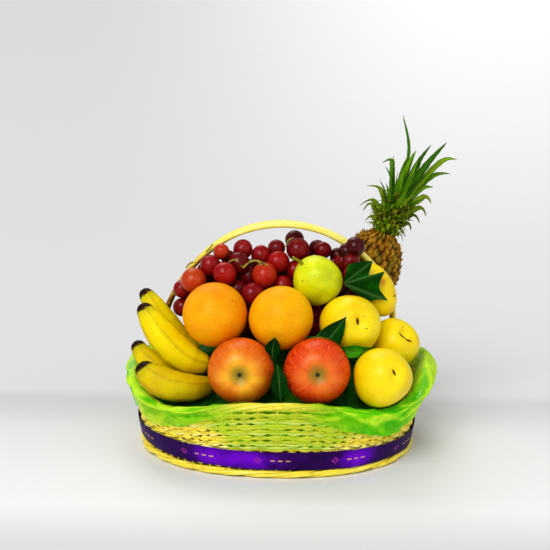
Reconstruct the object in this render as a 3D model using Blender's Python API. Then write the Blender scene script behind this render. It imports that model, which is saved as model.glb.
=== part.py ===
"""Fruit gift basket: an oval cane basket with an arched handle, lined with lime net, tied with a
violet ribbon and heaped with oranges, apples, yellow and green pears, short bananas, red grapes,
a small pineapple and a few green leaves. Metres, +Z up, the basket stands on z = 0."""

import math
import random

import bmesh
import bpy
import numpy as np

# Driving sizes, in metres.
FOOT_HALF = (0.1565, 0.1315)  # half width and half depth of the basket where it meets the foot
WALL_TOP_HALF = (0.1685, 0.1435)  # the same at the top of the wall
FOOT_SQUARENESS = 2.2  # 2 is a plain oval, more is a rounder-cornered box
RIM_SQUARENESS = 2.5
WALL_THICK = 0.0045
WALL_TOP = 0.0790  # wall height at the middle of the front
CORNER_DIP = 0.0165  # the rim sags this much at its two front corners, and a quarter of it behind
WALL_ROWS = 5  # bundles of cane that stand out as rows
ROW_RELIEF = 0.0016
ROUND = 36  # steps taken round the basket
FLOOR_THICK = 0.0045
RIM_ROD = (0.0050, 0.0052)  # half thickness and half height of the rim braid
FOOT_ROD = (0.0046, 0.0042)

HANDLE_CENTRE = (0.0064, 0.0210, 0.0850)
HANDLE_HALF = (0.1508, 0.1713)  # arch of the rods' centre line, half width and rise
HANDLE_SHOULDER = 0.1180  # the right leg turns straight down this far out
HANDLE_EASE = 0.0126
HANDLE_ROD = 0.0027
HANDLE_RODS = 3

RIBBON_WIDTH = 0.0225
RIBBON_THICK = 0.0007
RIBBON_LIFT = 0.0213  # height of its middle at the front
RIBBON_SLOPE = 0.0060  # it is tied higher at its left end

NET_THICK = 0.0011
BED_RIM = 0.0600  # height of the net filling by the wall
BED_CROWN = 0.1180  # height of the net filling in the middle and behind
BED_FRONT = 0.0740  # its height under the front row
CLEAR = 0.0020  # the filling gives way this much under a fruit

ORANGE_RADIUS = (0.0370, 0.0366)
APPLE_RADIUS = (0.0373, 0.0370)

GAP = 0.0005  # least air between two pieces
BUNCH_SEED = 11

MM = 0.001
CRUMB = 5e-9  # cubic metres


# Colours.
def linear(hex_colour):
    """The linear RGBA of an sRGB hex colour."""
    parts = [int(hex_colour[i : i + 2], 16) / 255 for i in (0, 2, 4)]
    return [c / 12.92 if c < 0.04045 else ((c + 0.055) / 1.055) ** 2.4 for c in parts] + [1.0]


def material(name, hex_colour, roughness, metallic=0.0):
    made = bpy.data.materials.new(name)
    made.use_nodes = True
    shader = made.node_tree.nodes["Principled BSDF"]
    shader.inputs["Base Color"].default_value = linear(hex_colour)
    shader.inputs["Roughness"].default_value = roughness
    shader.inputs["Metallic"].default_value = metallic
    made.diffuse_color = linear(hex_colour)
    return made


# Mesh helpers.
def add_mesh(name, points, faces, skin, smooth=True):
    mesh = bpy.data.meshes.new(name)
    mesh.from_pydata([tuple(p) for p in points], [], faces)
    mesh.update()
    if smooth:
        mesh.polygons.foreach_set("use_smooth", [True] * len(mesh.polygons))
    obj = bpy.data.objects.new(name, mesh)
    if skin is not None:
        mesh.materials.append(skin)
    bpy.context.scene.collection.objects.link(obj)
    return obj


def stack(rings, cap_first=None, cap_last=None, loop=False):
    """Points and triangles of rings of equal length. A cap is a point that closes an end, and a
    loop joins the last ring to the first."""
    count = len(rings[0])
    points = [p for ring in rings for p in ring]
    faces = []
    spans = len(rings) if loop else len(rings) - 1
    for j in range(spans):
        low = j * count
        high = (j + 1) % len(rings) * count
        for i in range(count):
            n = (i + 1) % count
            faces.append((low + i, low + n, high + n))
            faces.append((low + i, high + n, high + i))
    if cap_first is not None:
        points.append(cap_first)
        faces += [(len(points) - 1, (i + 1) % count, i) for i in range(count)]
    if cap_last is not None:
        base = (len(rings) - 1) * count
        points.append(cap_last)
        faces += [(len(points) - 1, base + i, base + (i + 1) % count) for i in range(count)]
    return points, faces


def facing_out(points, faces):
    """The same faces, turned round if together they enclose a negative volume."""
    p = np.asarray(points, float)
    f = np.asarray(faces)
    volume = np.einsum("ij,ij->i", p[f[:, 0]], np.cross(p[f[:, 1]], p[f[:, 2]])).sum()
    return faces if volume > 0 else [tuple(reversed(face)) for face in faces]


def solid(name, points, faces, skin, smooth=True):
    return add_mesh(name, points, facing_out(points, faces), skin, smooth)


def joined(name, pieces, skin, solver="EXACT"):
    """One closed body from overlapping pieces."""
    group = bpy.data.collections.new(name + "_pieces")
    bpy.context.scene.collection.children.link(group)
    first = pieces[0]
    for piece in pieces[1:]:
        bpy.context.scene.collection.objects.unlink(piece)
        group.objects.link(piece)
    union = first.modifiers.new("join", "BOOLEAN")
    union.operation = "UNION"
    union.operand_type = "COLLECTION"
    union.collection = group
    union.solver = solver
    graph = bpy.context.evaluated_depsgraph_get()
    mesh = bpy.data.meshes.new_from_object(first.evaluated_get(graph))
    first.modifiers.clear()
    for piece in pieces:
        bpy.data.objects.remove(piece)
    bpy.data.collections.remove(group)
    fill_hollows(mesh)
    mesh.materials.clear()
    mesh.materials.append(skin)
    mesh.polygons.foreach_set("use_smooth", [True] * len(mesh.polygons))
    obj = bpy.data.objects.new(name, mesh)
    bpy.context.scene.collection.objects.link(obj)
    return obj


def fill_hollows(mesh):
    """Takes away crumbs, and the inner skins of hollows shut in between joined pieces."""
    made = bmesh.new()
    made.from_mesh(mesh)
    bmesh.ops.triangulate(made, faces=made.faces)
    left = set(made.faces)
    inside = []
    while left:
        shell = [left.pop()]
        for face in shell:
            for edge in face.edges:
                for other in edge.link_faces:
                    if other in left:
                        left.remove(other)
                        shell.append(other)
        volume = 0.0
        for face in shell:
            a, b, c = (v.co for v in face.verts)
            volume += a.dot(b.cross(c))
        if volume < 6 * CRUMB:
            inside += shell
    bmesh.ops.delete(made, geom=inside, context="FACES")
    loose = [v for v in made.verts if not v.link_faces]
    bmesh.ops.delete(made, geom=loose, context="VERTS")
    made.to_mesh(mesh)
    made.free()


def unit(vector):
    vector = np.asarray(vector, float)
    return vector / np.linalg.norm(vector)


def axes_of(axis, near=(0.0, 0.0, 1.0)):
    """Two directions square to the axis, the first one as close as can be to `near`."""
    axis = unit(axis)
    near = np.asarray(near, float)
    if abs(axis @ near) > 0.95:
        near = np.array([0.0, 1.0, 0.0])
    first = unit(near - axis * (axis @ near))
    return first, np.cross(axis, first)


def curve_through(points, values, count):
    """A smooth line through the points, with the values in step."""
    points = np.asarray(points, float)
    values = np.asarray(values, float)
    line, along = [], []
    for u in np.linspace(0, len(points) - 1, count):
        i = min(int(u), len(points) - 2)
        f = u - i
        a, b = points[max(i - 1, 0)], points[i]
        c, d = points[i + 1], points[min(i + 2, len(points) - 1)]
        line.append(
            0.5 * (2 * b + (c - a) * f + (2 * a - 5 * b + 4 * c - d) * f**2 + (3 * b - a - 3 * c + d) * f**3)
        )
        along.append(np.interp(u, range(len(points)), values))
    return np.array(line), np.array(along)


# The basket's plan.
def oval(angle, half_width, half_depth, squareness):
    """A point of the basket's plan outline. The angle is 0 at the right and -90 degrees in front."""
    c, s = math.cos(angle), math.sin(angle)
    power = 2 / squareness
    return (
        half_width * math.copysign(abs(c) ** power, c),
        half_depth * math.copysign(abs(s) ** power, s),
    )


def blend(low, high, share):
    return low + (high - low) * share


def wall_point(angle, share, out=0.0):
    """A point of the wall's outer face, `share` of the way up and `out` metres off it."""
    half = [blend(FOOT_HALF[i], WALL_TOP_HALF[i], share) + out for i in (0, 1)]
    x, y = oval(angle, half[0], half[1], blend(FOOT_SQUARENESS, RIM_SQUARENESS, share))
    return np.array([x, y, 0.0])


def wall_top(angle):
    """Height of the top of the wall: it dips at the front corners and a little at the back."""
    depth = CORNER_DIP if math.sin(angle) < 0 else CORNER_DIP * 0.25
    return WALL_TOP - depth * math.sin(2 * angle) ** 2


def wall_at(angle, height, out=0.0):
    """A point off the wall's outer face at a height in metres."""
    point = wall_point(angle, min(max(height / WALL_TOP, 0.0), 1.15), out)
    point[2] = height
    return point


def turns(count):
    return [2 * math.pi * i / count for i in range(count)]


# Basket pieces.
def make_basket(skin):
    """The wall with its rows of cane, open at the top, and the flat floor it stands on."""
    angles = turns(ROUND)
    start = 0.0095
    inset = 0.0062
    rings = [
        [wall_at(a, 0.0, -inset) for a in angles],
        [wall_at(a, start - 0.0006, -inset) for a in angles],
    ]
    steps = 2 * WALL_ROWS
    for k in range(steps + 1):
        bulge = ROW_RELIEF * (0.5 if k % 2 else -0.5)
        rings.append([wall_at(a, blend(start, wall_top(a), k / steps), bulge) for a in angles])
    for share in (1.0, 0.5, 0.0):
        rings.append([
            wall_at(a, blend(FLOOR_THICK, wall_top(a), share), -WALL_THICK) for a in angles
        ])
    return solid("basket_body", *stack(rings, (0, 0, 0), (0, 0, FLOOR_THICK)), skin)


def ring_tube(centre_line, half_wide, half_high, sides=8, lobes=0.0):
    """A closed tube round the basket. centre_line gives a point and its outward direction."""
    rings = []
    for point, out in centre_line:
        ring = []
        for s in turns(sides):
            swell = 1 + lobes * math.cos(2 * s)
            ring.append(
                point
                + out * (half_wide * swell * math.cos(s))
                + np.array([0, 0, half_high * swell * math.sin(s)])
            )
        rings.append(ring)
    return stack(rings, loop=True)


def outward(angle, height):
    step = 0.01
    ahead = wall_at(angle + step, height)
    back = wall_at(angle - step, height)
    along = unit(ahead - back)
    return np.array([along[1], -along[0], 0.0])


def make_rim(skin):
    line = []
    for a in turns(ROUND):
        top = wall_top(a)
        point = wall_at(a, top, -WALL_THICK / 2)
        point[2] = top + RIM_ROD[1] + 0.0004
        line.append((point, outward(a, top)))
    return solid("rim_braid", *ring_tube(line, *RIM_ROD, sides=6), skin)


def make_foot(skin):
    line = []
    for a in turns(ROUND):
        point = wall_at(a, FOOT_ROD[1], 0.0006)
        point[2] = FOOT_ROD[1]
        line.append((point, outward(a, 0.0)))
    return solid("foot_braid", *ring_tube(line, *FOOT_ROD, sides=6), skin)


def handle_line(count):
    """The arch's centre line, from the left foot to the right one. The right leg stands straighter
    than the oval arch: past a limit it hardly goes further out."""
    line = []
    for k in range(count):
        a = math.pi * (1 - k / (count - 1))
        across = HANDLE_HALF[0] * math.cos(a)
        if across > HANDLE_SHOULDER:
            past = across - HANDLE_SHOULDER
            across = HANDLE_SHOULDER + HANDLE_EASE * math.tanh(past / HANDLE_EASE)
        rise = HANDLE_HALF[1] * math.sin(a)
        line.append(np.array(HANDLE_CENTRE) + np.array([across, 0, rise]))
    return line


def make_handle(skin):
    """Rods laid side by side and bent into one arch."""
    line = handle_line(21)
    pitch = 2 * HANDLE_ROD * 0.94
    rings = []
    for k, point in enumerate(line):
        ahead = line[min(k + 1, len(line) - 1)]
        back = line[max(k - 1, 0)]
        along = unit(ahead - back)
        up = np.array([-along[2], 0, along[0]])
        share = k / (len(line) - 1)
        ring = []
        outline = []
        half = (HANDLE_RODS - 1) / 2
        for rod in range(HANDLE_RODS):
            middle = (rod - half) * pitch
            lift = 0.0012 * math.sin(share * 9 + rod * 2.1)
            outline.append((middle - pitch * 0.42, HANDLE_ROD * 0.62 + lift))
            outline.append((middle, HANDLE_ROD + lift))
        outline.append((half * pitch + HANDLE_ROD, lift))
        for rod in reversed(range(HANDLE_RODS)):
            middle = (rod - half) * pitch
            lift = 0.0012 * math.sin(share * 9 + rod * 2.1)
            outline.append((middle, -HANDLE_ROD + lift))
        outline.append((-half * pitch - HANDLE_ROD, 0.0))
        for across, rise in outline:
            ring.append(point + np.array([0, across, 0]) + up * rise)
        rings.append(ring)
    points, faces = stack(rings, line[0], line[-1])
    return solid("handle", points, faces, skin)


def ribbon_middle(angle):
    """Height of the ribbon's middle: tied a little higher at the left than at the right."""
    behind = 0.0016 * (1 + math.sin(angle))
    return RIBBON_LIFT + behind - RIBBON_SLOPE / 2 * math.cos(angle)


def make_ribbon(skin):
    rings = []
    for a in turns(ROUND):
        middle = ribbon_middle(a)
        half = RIBBON_WIDTH / 2 * (1 - 0.06 * math.sin(3 * a + 0.6) ** 2)
        fold = 0.0005 * math.sin(5 * a + 1.0)
        low, high = middle - half, middle + half
        off = ROW_RELIEF / 2 + 0.0013
        rings.append([
            wall_at(a, low, off),
            wall_at(a, low, off + RIBBON_THICK),
            wall_at(a, middle + fold, off + RIBBON_THICK + 0.0006),
            wall_at(a, high, off + RIBBON_THICK),
            wall_at(a, high, off),
        ])
    return solid("ribbon", *stack(rings, loop=True), skin)


# Round fruit.
def orange_profile(t):
    """How far from the axis and how far along it, for t from one end to the other."""
    a = math.pi * t
    return math.sin(a), 0.985 * math.cos(a) - 0.03 * math.exp(-((a / 0.2) ** 2))


def apple_profile(t):
    a = math.pi * t
    dimple = 0.24 * math.exp(-((a / 0.34) ** 2)) - 0.22 * math.exp(-(((math.pi - a) / 0.36) ** 2))
    return math.sin(a) * (1 - 0.03 * math.cos(a) ** 2), 0.93 * math.cos(a) - dimple


def pear_profile(t):
    a = math.pi * t
    dimple = 0.13 * math.exp(-((a / 0.26) ** 2)) - 0.06 * math.exp(-(((math.pi - a) / 0.3) ** 2))
    return math.sin(a) * (1 + 0.015 * math.cos(2 * a)), 0.985 * math.cos(a) - dimple


def green_pear_profile(t):
    a = math.pi * t
    return math.sin(a) * (0.99 - 0.07 * math.cos(a)), 1.02 * math.cos(a)


def fruit_rings(centre, radius, axis, profile, sides, rings, lumps=0.0, phase=0.0, squash=1.0):
    """Rings and both end points of a turned shape with soft lumps. Squash narrows it front to
    back."""
    centre = np.asarray(centre, float)
    axis = unit(axis)
    side, other = axes_of(axis)
    made = []
    for k in range(1, rings + 1):
        t = k / (rings + 1)
        away, along = profile(t)
        ring = []
        for s in turns(sides):
            dent = 1 - lumps * (0.5 + 0.5 * math.sin(3 * s + phase + 2.2 * t))
            dent -= lumps * 0.6 * math.sin(2 * s - phase) ** 2 * math.sin(math.pi * t)
            across = side * math.cos(s) + other * math.sin(s)
            offset = (axis * along + across * away * dent) * radius
            offset[1] *= squash
            ring.append(centre + offset)
        made.append(ring)
    ends = []
    for t in (0.0, 1.0):
        offset = axis * (profile(t)[1] * radius)
        offset[1] *= squash
        ends.append(centre + offset)
    return made, ends


def make_fruit(name, centre, radius, axis, profile, skin, sides=14, rings=8, **more):
    made, ends = fruit_rings(centre, radius, axis, profile, sides, rings, **more)
    return solid(name, *stack(made, ends[0], ends[1]), skin)


# name, centre, radius, direction its eye or stem end faces, lumps, phase
YELLOW_PEARS = (
    ("pear_middle", (81.9, -54.5, 154.7), 35.7, (0.28, -0.93, 0.22), 0.035, 0.4),
    ("pear_front", (116.0, -104.0, 108.2), 34.2, (0.38, -0.88, 0.26), 0.045, 2.0),
    ("pear_side", (135.2, -27.0, 126.0), 29.7, (0.45, -0.55, 0.70), 0.05, 4.1),
)
PEAR_REAR = dict(centre=(115.5, -6.0, 184.5), radius=33.0, axis=(-0.36, 0.0, 0.933), narrow=0.60)
PEAR_GREEN = dict(centre=(44.0, -23.9, 199.4), radius=29.2, axis=(-0.62, -0.30, 0.72))
ORANGES = (
    ("orange_left", (-72.2, -50.0, 163.3), ORANGE_RADIUS[0], (0.30, -0.60, 0.74)),
    ("orange_right", (2.9, -62.1, 163.6), ORANGE_RADIUS[1], (-0.50, -0.40, 0.77)),
)
APPLES = (
    ("apple_left", (-40.9, -94.0, 110.4), APPLE_RADIUS[0], (-0.03, -0.99, 0.12)),
    ("apple_right", (43.4, -102.5, 114.2), APPLE_RADIUS[1], (0.00, -0.99, 0.14)),
)


def place(values):
    return np.array(values) * MM


def rear_pear_rings(sides=12, rings=7):
    """The pear behind: longer than wide, leaning left."""
    size = PEAR_REAR["radius"] * MM
    centre = place(PEAR_REAR["centre"])
    axis = unit(PEAR_REAR["axis"])
    side, other = axes_of(axis, (1, 0, 0))
    narrow = PEAR_REAR["narrow"]
    made = []
    for k in range(1, rings + 1):
        a = math.pi * k / (rings + 1)
        away = math.sin(a) * (1 - 0.10 * math.cos(a)) * narrow
        made.append([
            centre
            + axis * (size * math.cos(a))
            + (side * math.cos(s) + other * math.sin(s)) * (size * away)
            for s in turns(sides)
        ])
    return made, [centre + axis * size, centre - axis * size]


def make_green_pear(skin):
    centre = place(PEAR_GREEN["centre"])
    radius = PEAR_GREEN["radius"] * MM
    axis = unit(PEAR_GREEN["axis"])
    body = make_fruit(
        "green_body", centre, radius, axis, green_pear_profile, None, lumps=0.02, phase=1.0
    )
    tip = centre + axis * radius * 0.93
    bend = unit(axis + np.array([-0.55, -0.25, -0.25]))
    line = [tip, tip + axis * 0.005, tip + axis * 0.008 + bend * 0.006]
    side, other = axes_of(axis)
    rings = [
        [p + (side * math.cos(s) + other * math.sin(s)) * r for s in turns(6)]
        for p, r in zip(line, (0.0024, 0.0018, 0.0023))
    ]
    stem = solid("green_stem", *stack(rings, line[0], line[-1]), None)
    return joined("pear_green", [body, stem], skin)


# Bananas.
# Centre line in mm, blossom tip first and stem end last, and the radius at each station.
BANANAS = {
    "banana_upper_rear": (
        (-158.7, -8.6, 181.0, 5.6),
        (-147.1, -14.4, 165.8, 12.3),
        (-133.1, -16.2, 143.6, 16.4),
        (-115.6, -18.4, 122.6, 16.4),
        (-95.3, -24.8, 110.2, 9.5),
    ),
    "banana_upper_front": (
        (-156.6, -42.0, 171.9, 6.2),
        (-146.3, -49.0, 156.8, 13.8),
        (-133.5, -53.0, 139.2, 17.9),
        (-117.5, -55.0, 122.2, 18.8),
        (-100.4, -54.0, 110.2, 17.2),
        (-82.3, -50.0, 104.5, 10.5),
    ),
    "banana_lower_rear": (
        (-165.5, -26.0, 122.4, 6.2),
        (-155.0, -35.6, 109.0, 12.2),
        (-139.0, -41.6, 96.8, 16.2),
        (-118.6, -39.6, 87.0, 15.6),
        (-97.0, -32.0, 80.0, 9.5),
    ),
    "banana_lower_front": (
        (-155.1, -78.0, 112.6, 6.6),
        (-146.9, -82.0, 103.4, 14.4),
        (-134.1, -87.0, 95.4, 17.9),
        (-116.1, -88.0, 89.2, 18.0),
        (-96.4, -80.0, 85.2, 15.8),
        (-79.2, -64.0, 83.4, 10.0),
    ),
}


def banana_line(name, count):
    stations = BANANAS[name]
    return curve_through([place(s[:3]) for s in stations], [s[3] * MM for s in stations], count)


def banana_rings(name, count, sides, ridge=0.05):
    """Rings along a bent fruit with five soft ridges and a blunt tip."""
    line, size = banana_line(name, count)
    rings = []
    up = np.array([0.3, -0.2, 1.0])
    for k, point in enumerate(line):
        along = unit(line[min(k + 1, count - 1)] - line[max(k - 1, 0)])
        side, other = axes_of(along, up)
        up = side
        ring = []
        for s in turns(sides):
            swell = 1 - ridge * (0.5 + 0.5 * math.cos(5 * s))
            ring.append(point + (side * math.cos(s) + other * math.sin(s)) * size[k] * swell)
        rings.append(ring)
    return rings, line


def make_banana(name, skin):
    rings, line = banana_rings(name, 9, 10)
    return solid(name, *stack(rings, line[0], line[-1]), skin)


# Pineapple.
PINE_TOP = place((126.5, 80.0, 231.8))
PINE_LEAN = (-47.2, -8.0, -123.1)  # direction from its top to its foot
PINE_LENGTH = 148
EYE_RELIEF = 3.2  # in mm
CROWN_LIFT = 1.2  # the crown starts this far above the body, in mm
# distance down from the top and radius there, in mm
PINE_PROFILE = (
    (0, 19.0), (5, 25.5), (14, 30.5), (28, 35.0), (42, 37.6), (58, 36.6),
    (85, 34.8), (108, 32.8), (126, 28.8), (140, 20.0), (148, 9.0),
)


def pine_radius(down):
    return np.interp(down, [p[0] for p in PINE_PROFILE], [p[1] for p in PINE_PROFILE])


def make_pineapple(skin):
    """Eyes stand out as low pyramids in a slanting chequer pattern."""
    axis = unit(PINE_LEAN)
    side, other = axes_of(axis, (0, 1, 0))
    rings = []
    rows, sides = 17, 22
    for k in range(rows):
        down = PINE_LENGTH * (k + 0.2) / (rows - 0.6)
        centre = PINE_TOP + axis * down * MM
        ring = []
        for i, s in enumerate(turns(sides)):
            raised = EYE_RELIEF if (i + k) % 2 == 0 else 0.0
            reach = (pine_radius(down) - EYE_RELIEF / 2 + raised) * MM
            ring.append(centre + (side * math.cos(s) + other * math.sin(s)) * reach)
        rings.append(ring)
    points, faces = stack(rings, PINE_TOP, PINE_TOP + axis * PINE_LENGTH * MM)
    return solid("pineapple", points, faces, skin)


# crown leaves seen from the front: tip across, tip up, bend across, bend up, foot up, width, lean
CROWN_LEAVES = (
    (-33.6, 145.0, -8.0, 103.0, 40, 6.0, 2),
    (27.6, 134.0, 14.0, 96.0, 40, 10.0, 6),
    (12.7, 124.0, 5.0, 92.0, 42, 8.5, -5),
    (50.0, 119.5, 30.0, 106.0, 40, 8.0, -9),
    (50.0, 100.4, 27.5, 86.0, 34, 7.5, -14),
    (36.4, 77.5, 21.0, 68.0, 30, 8.0, -9),
    (-34.0, 82.0, -22.0, 86.0, 36, 8.0, -4),
    (-30.1, 80.0, -16.0, 66.0, 30, 4.0, 8),
    (-41.4, 48.9, -23.0, 51.0, 24, 6.0, -5),
    (-40.9, 24.0, -27.0, 36.0, 17, 6.5, 4),
    (-32.5, 18.0, -26.0, 30.0, 11, 6.5, -12),
    (-28.0, 9.0, -21.0, 18.0, 5, 6.5, 8),
    (41.0, 58.0, 28.0, 61.0, 26, 8.5, -4),
    (39.4, 42.0, 27.0, 48.0, 20, 7.0, 7),
    (38.0, 30.0, 25.0, 36.0, 12, 6.5, -7),
    (29.0, 19.0, 21.0, 25.0, 6, 6.5, 6),
)
# rows of leaves round the crown: foot height, how many, reach, rise and width
CROWN_RINGS = ((3, 8, 25, 9, 10), (17, 7, 31, 18, 10), (33, 6, 34, 32, 9), (50, 4, 26, 44, 9))


def crown_frame():
    up = -unit(PINE_LEAN)
    across = unit(np.array([up[2], 0, -up[0]]))
    return across, up, np.cross(across, up)


def leaf_strip(foot, bend, tip, width, back, stations=5):
    """A pointed leaf with a keel, from foot to tip, as rings of three points."""
    line, size = curve_through([foot, bend, tip], [1.0, 0.82, 0.12], stations)
    rings = []
    for k, point in enumerate(line):
        along = unit(line[min(k + 1, len(line) - 1)] - line[max(k - 1, 0)])
        side = unit(np.cross(along, back))
        out = np.cross(side, along)
        half = width / 2 * size[k]
        rings.append([
            point - side * half + out * (half * 0.20 + 0.0003),
            point - out * (half * 0.22 + 0.0006),
            point + side * half + out * (half * 0.20 + 0.0003),
        ])
    return rings, line


def make_crown(skin):
    across, up, away = crown_frame()
    base = PINE_TOP + up * CROWN_LIFT * MM
    pieces = []
    profile = ((0, 15.5), (7, 16.0), (22, 14.0), (40, 11.0), (54, 7.5), (64, 3.0))
    rings = [
        [base + up * h * MM + (across * math.cos(s) + away * math.sin(s)) * r * MM for s in turns(8)]
        for h, r in profile
    ]
    core = solid("crown_core", *stack(rings, base, base + up * 0.068), None)
    pieces.append(core)
    for i, (tx, tu, bx, bu, fu, width, lean) in enumerate(CROWN_LEAVES):
        side = math.copysign(1, tx)
        foot = base + across * side * 3 * MM + up * fu * 0.9 * MM + away * lean * 0.3 * MM
        bend = base + across * bx * MM + up * (bu - CROWN_LIFT) * MM + away * lean * 0.8 * MM
        tip = base + across * tx * MM + up * (tu - CROWN_LIFT) * MM + away * lean * MM
        toward = unit(across * side * 0.6 + up * 0.5 - away * 0.6)
        made, line = leaf_strip(foot, bend, tip, width * 1.2 * MM, toward)
        pieces.append(solid(f"crown_leaf_{i}", *stack(made, line[0], line[-1]), None))
    n = 0
    for row, (height, count, reach, rise, width) in enumerate(CROWN_RINGS):
        for k in range(count):
            turn = 2 * math.pi * (k + 0.5 * (row % 2)) / count + 0.3 * row
            out = across * math.cos(turn) + away * math.sin(turn)
            if row > 0 and abs(math.cos(turn)) > 0.80:
                continue
            foot = base + out * 5 * MM + up * height * MM
            bend = base + out * (reach * 0.62) * MM + up * (height + rise * 0.45) * MM
            tip = base + out * reach * MM + up * (height + rise * (0.62 if row < 2 else 1.0)) * MM
            made, line = leaf_strip(foot, bend, tip, width * MM, out * 0.7 + up * 0.4, 4)
            pieces.append(solid(f"crown_ring_{n}", *stack(made, line[0], line[-1]), None))
            n += 1
    return joined("pineapple_crown", pieces, skin, "MANIFOLD")


# Grapes.
# grapes that show from the front: across, depth, height, radius in mm
FRONT_GRAPES = (
    (-43.5, 8, 224.0, 11.5), (-47.0, -3, 211.5, 12.2), (-20.8, 14, 219.5, 11.4),
    (-3.6, 22, 226.0, 10.4), (0.6, 3, 211.5, 13.0), (22.6, 16, 223.6, 13.6),
    (20.6, 34, 231.0, 11.0), (33.0, 30, 219.5, 10.8), (43.2, 34, 221.5, 9.6),
    (55.6, 30, 221.5, 10.2), (80.0, -6, 225.0, 11.8), (70.6, -9, 214.6, 11.8),
    (82.4, -14, 206.6, 10.6), (63.0, 26, 218.5, 9.4), (-69.5, 0, 220.8, 9.4),
    (-60.0, 12, 216.5, 8.8), (-76.5, -5, 208.6, 12.2), (-64.0, -13, 198.6, 13.4),
    (-97.0, -7, 194.4, 14.8), (-111.0, 0, 180.2, 10.6), (-112.5, 3, 160.0, 10.8),
    (-13.4, -13, 198.0, 14.8), (-31.0, -25, 182.8, 13.4), (-49.0, -12, 186.2, 11.4),
    (-37.0, -2, 198.4, 11.8), (-85.0, 8, 199.5, 11.2), (7.0, -13, 192.0, 12.0),
    (24.0, 0, 205.4, 11.8), (-91.0, 7, 178.0, 12.6), (-103.0, 12, 168.0, 11.8),
    (60.0, 10, 205.0, 12.0), (41.0, 18, 207.0, 12.0), (-88.0, 10, 156.0, 12.0),
)
BUNCH_CORES = (
    ((-28, 33, 164), (74, 35, 46)),
    ((-26, 58, 130), (68, 34, 38)),
    ((40, 31, 174), (28, 17, 34)),
)


def grape_spots():
    """Centres and radii of every grape: the ones in front, then a seeded cover of the back."""
    keep_off = solid_balls()
    spots = spread([(place(g[:3]), g[3] * MM) for g in FRONT_GRAPES], keep_off)
    dice = random.Random(BUNCH_SEED)
    tries = 0
    while tries < 6000 and len(spots) < 62:
        tries += 1
        centre, half = BUNCH_CORES[dice.choice((0, 0, 1, 1, 1, 2))]
        turn = dice.uniform(0, 2 * math.pi)
        rise = dice.uniform(-0.35, 1.0)
        flat = math.sqrt(1 - rise * rise)
        way = np.array([flat * math.cos(turn), flat * math.sin(turn), rise])
        radius = dice.uniform(11.0, 13.6) * MM
        spot = place(centre) + way * place(half) * 0.99
        if spot[1] < 0.030 or spot[2] - radius < 0.088:
            continue
        if any(np.linalg.norm(spot - c) < 0.96 * (radius + r) for c, r in spots):
            continue
        if any(np.linalg.norm(spot - c) < radius + r + 0.0010 for c, r in keep_off):
            continue
        if off_rim(spot) < radius + 0.0085:
            continue
        spots.append((spot, radius))
    return spots


def spread(spots, balls):
    """Grapes that cut each other drawn apart, mostly front to back, and off the other fruit."""
    spots = [[np.array(c), r] for c, r in spots]
    for _ in range(60):
        for i, (a, size) in enumerate(spots):
            for j in range(i + 1, len(spots)):
                b, other = spots[j]
                gap = b - spots[i][0]
                need = 0.97 * (size + other)
                far = float(np.linalg.norm(gap))
                if far < need:
                    way = unit(gap * np.array([0.35, 1.0, 0.35]) + np.array([0, 1e-5, 0]))
                    step = way * (need - far) * 0.5
                    spots[i][0] = spots[i][0] - step
                    spots[j][0] = b + step
        for spot in spots:
            spot[0] = moved_off(spot[0], spot[1], balls)
    return [(c, r) for c, r in spots]


def moved_off(spot, radius, balls, air=0.0009):
    """The spot, pushed straight away from every ball that a piece of this radius would cut."""
    for _ in range(30):
        for centre, size in balls:
            away = spot - centre
            far = float(np.linalg.norm(away))
            if far < size + radius + air:
                spot = spot + away / far * (size + radius + air - far)
    return spot


def off_rim(spot):
    best = 1.0
    for a in turns(60):
        point = wall_at(a, wall_top(a), -WALL_THICK / 2)
        point[2] = wall_top(a) + RIM_ROD[1]
        best = min(best, float(np.linalg.norm(spot - point)))
    return best


def ball(name, centre, radius, turn, sides, rows):
    """A grape with few sides: rows of points staggered by half a step between two poles."""
    rings = []
    size = radius * 1.05
    for k in range(1, rows + 1):
        a = math.pi * (k / (rows + 1) if rows > 2 else (0.352 if k == 1 else 0.648))
        rings.append([
            centre
            + size
            * np.array([
                math.sin(a) * math.cos(s + turn + math.pi / sides * k),
                math.sin(a) * math.sin(s + turn + math.pi / sides * k),
                math.cos(a),
            ])
            for s in turns(sides)
        ])
    top = centre + np.array([0, 0, size])
    foot = centre - np.array([0, 0, size])
    return solid(name, *stack(rings, top, foot), None)


def twig_ends():
    """A short stalk from every grape that hangs clear of the rest to the nearest held one."""
    spots = grape_spots()
    held = []
    for i, (spot, radius) in enumerate(spots):
        for centre, half in BUNCH_CORES:
            reach = (spot - place(centre)) / (place(half) + radius * 0.75)
            if float(np.linalg.norm(reach)) < 1:
                held.append(i)
                break
    ends = []
    while len(held) < len(spots):
        best = None
        for i in range(len(spots)):
            if i in held:
                continue
            for j in held:
                air = float(np.linalg.norm(spots[i][0] - spots[j][0])) - spots[i][1] - spots[j][1]
                if best is None or air < best[0]:
                    best = (air, i, j)
        air, i, j = best
        held.append(i)
        if air > -0.0020:
            ends.append((spots[i][0], spots[j][0]))
    return ends


def twig(name, start, end):
    along = unit(end - start)
    side, other = axes_of(along)
    rings = [
        [p + (side * math.cos(s) + other * math.sin(s)) * 0.0016 for s in turns(4)]
        for p in (start, end)
    ]
    return solid(name, *stack(rings, start - along * 0.001, end + along * 0.001), None)


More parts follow.
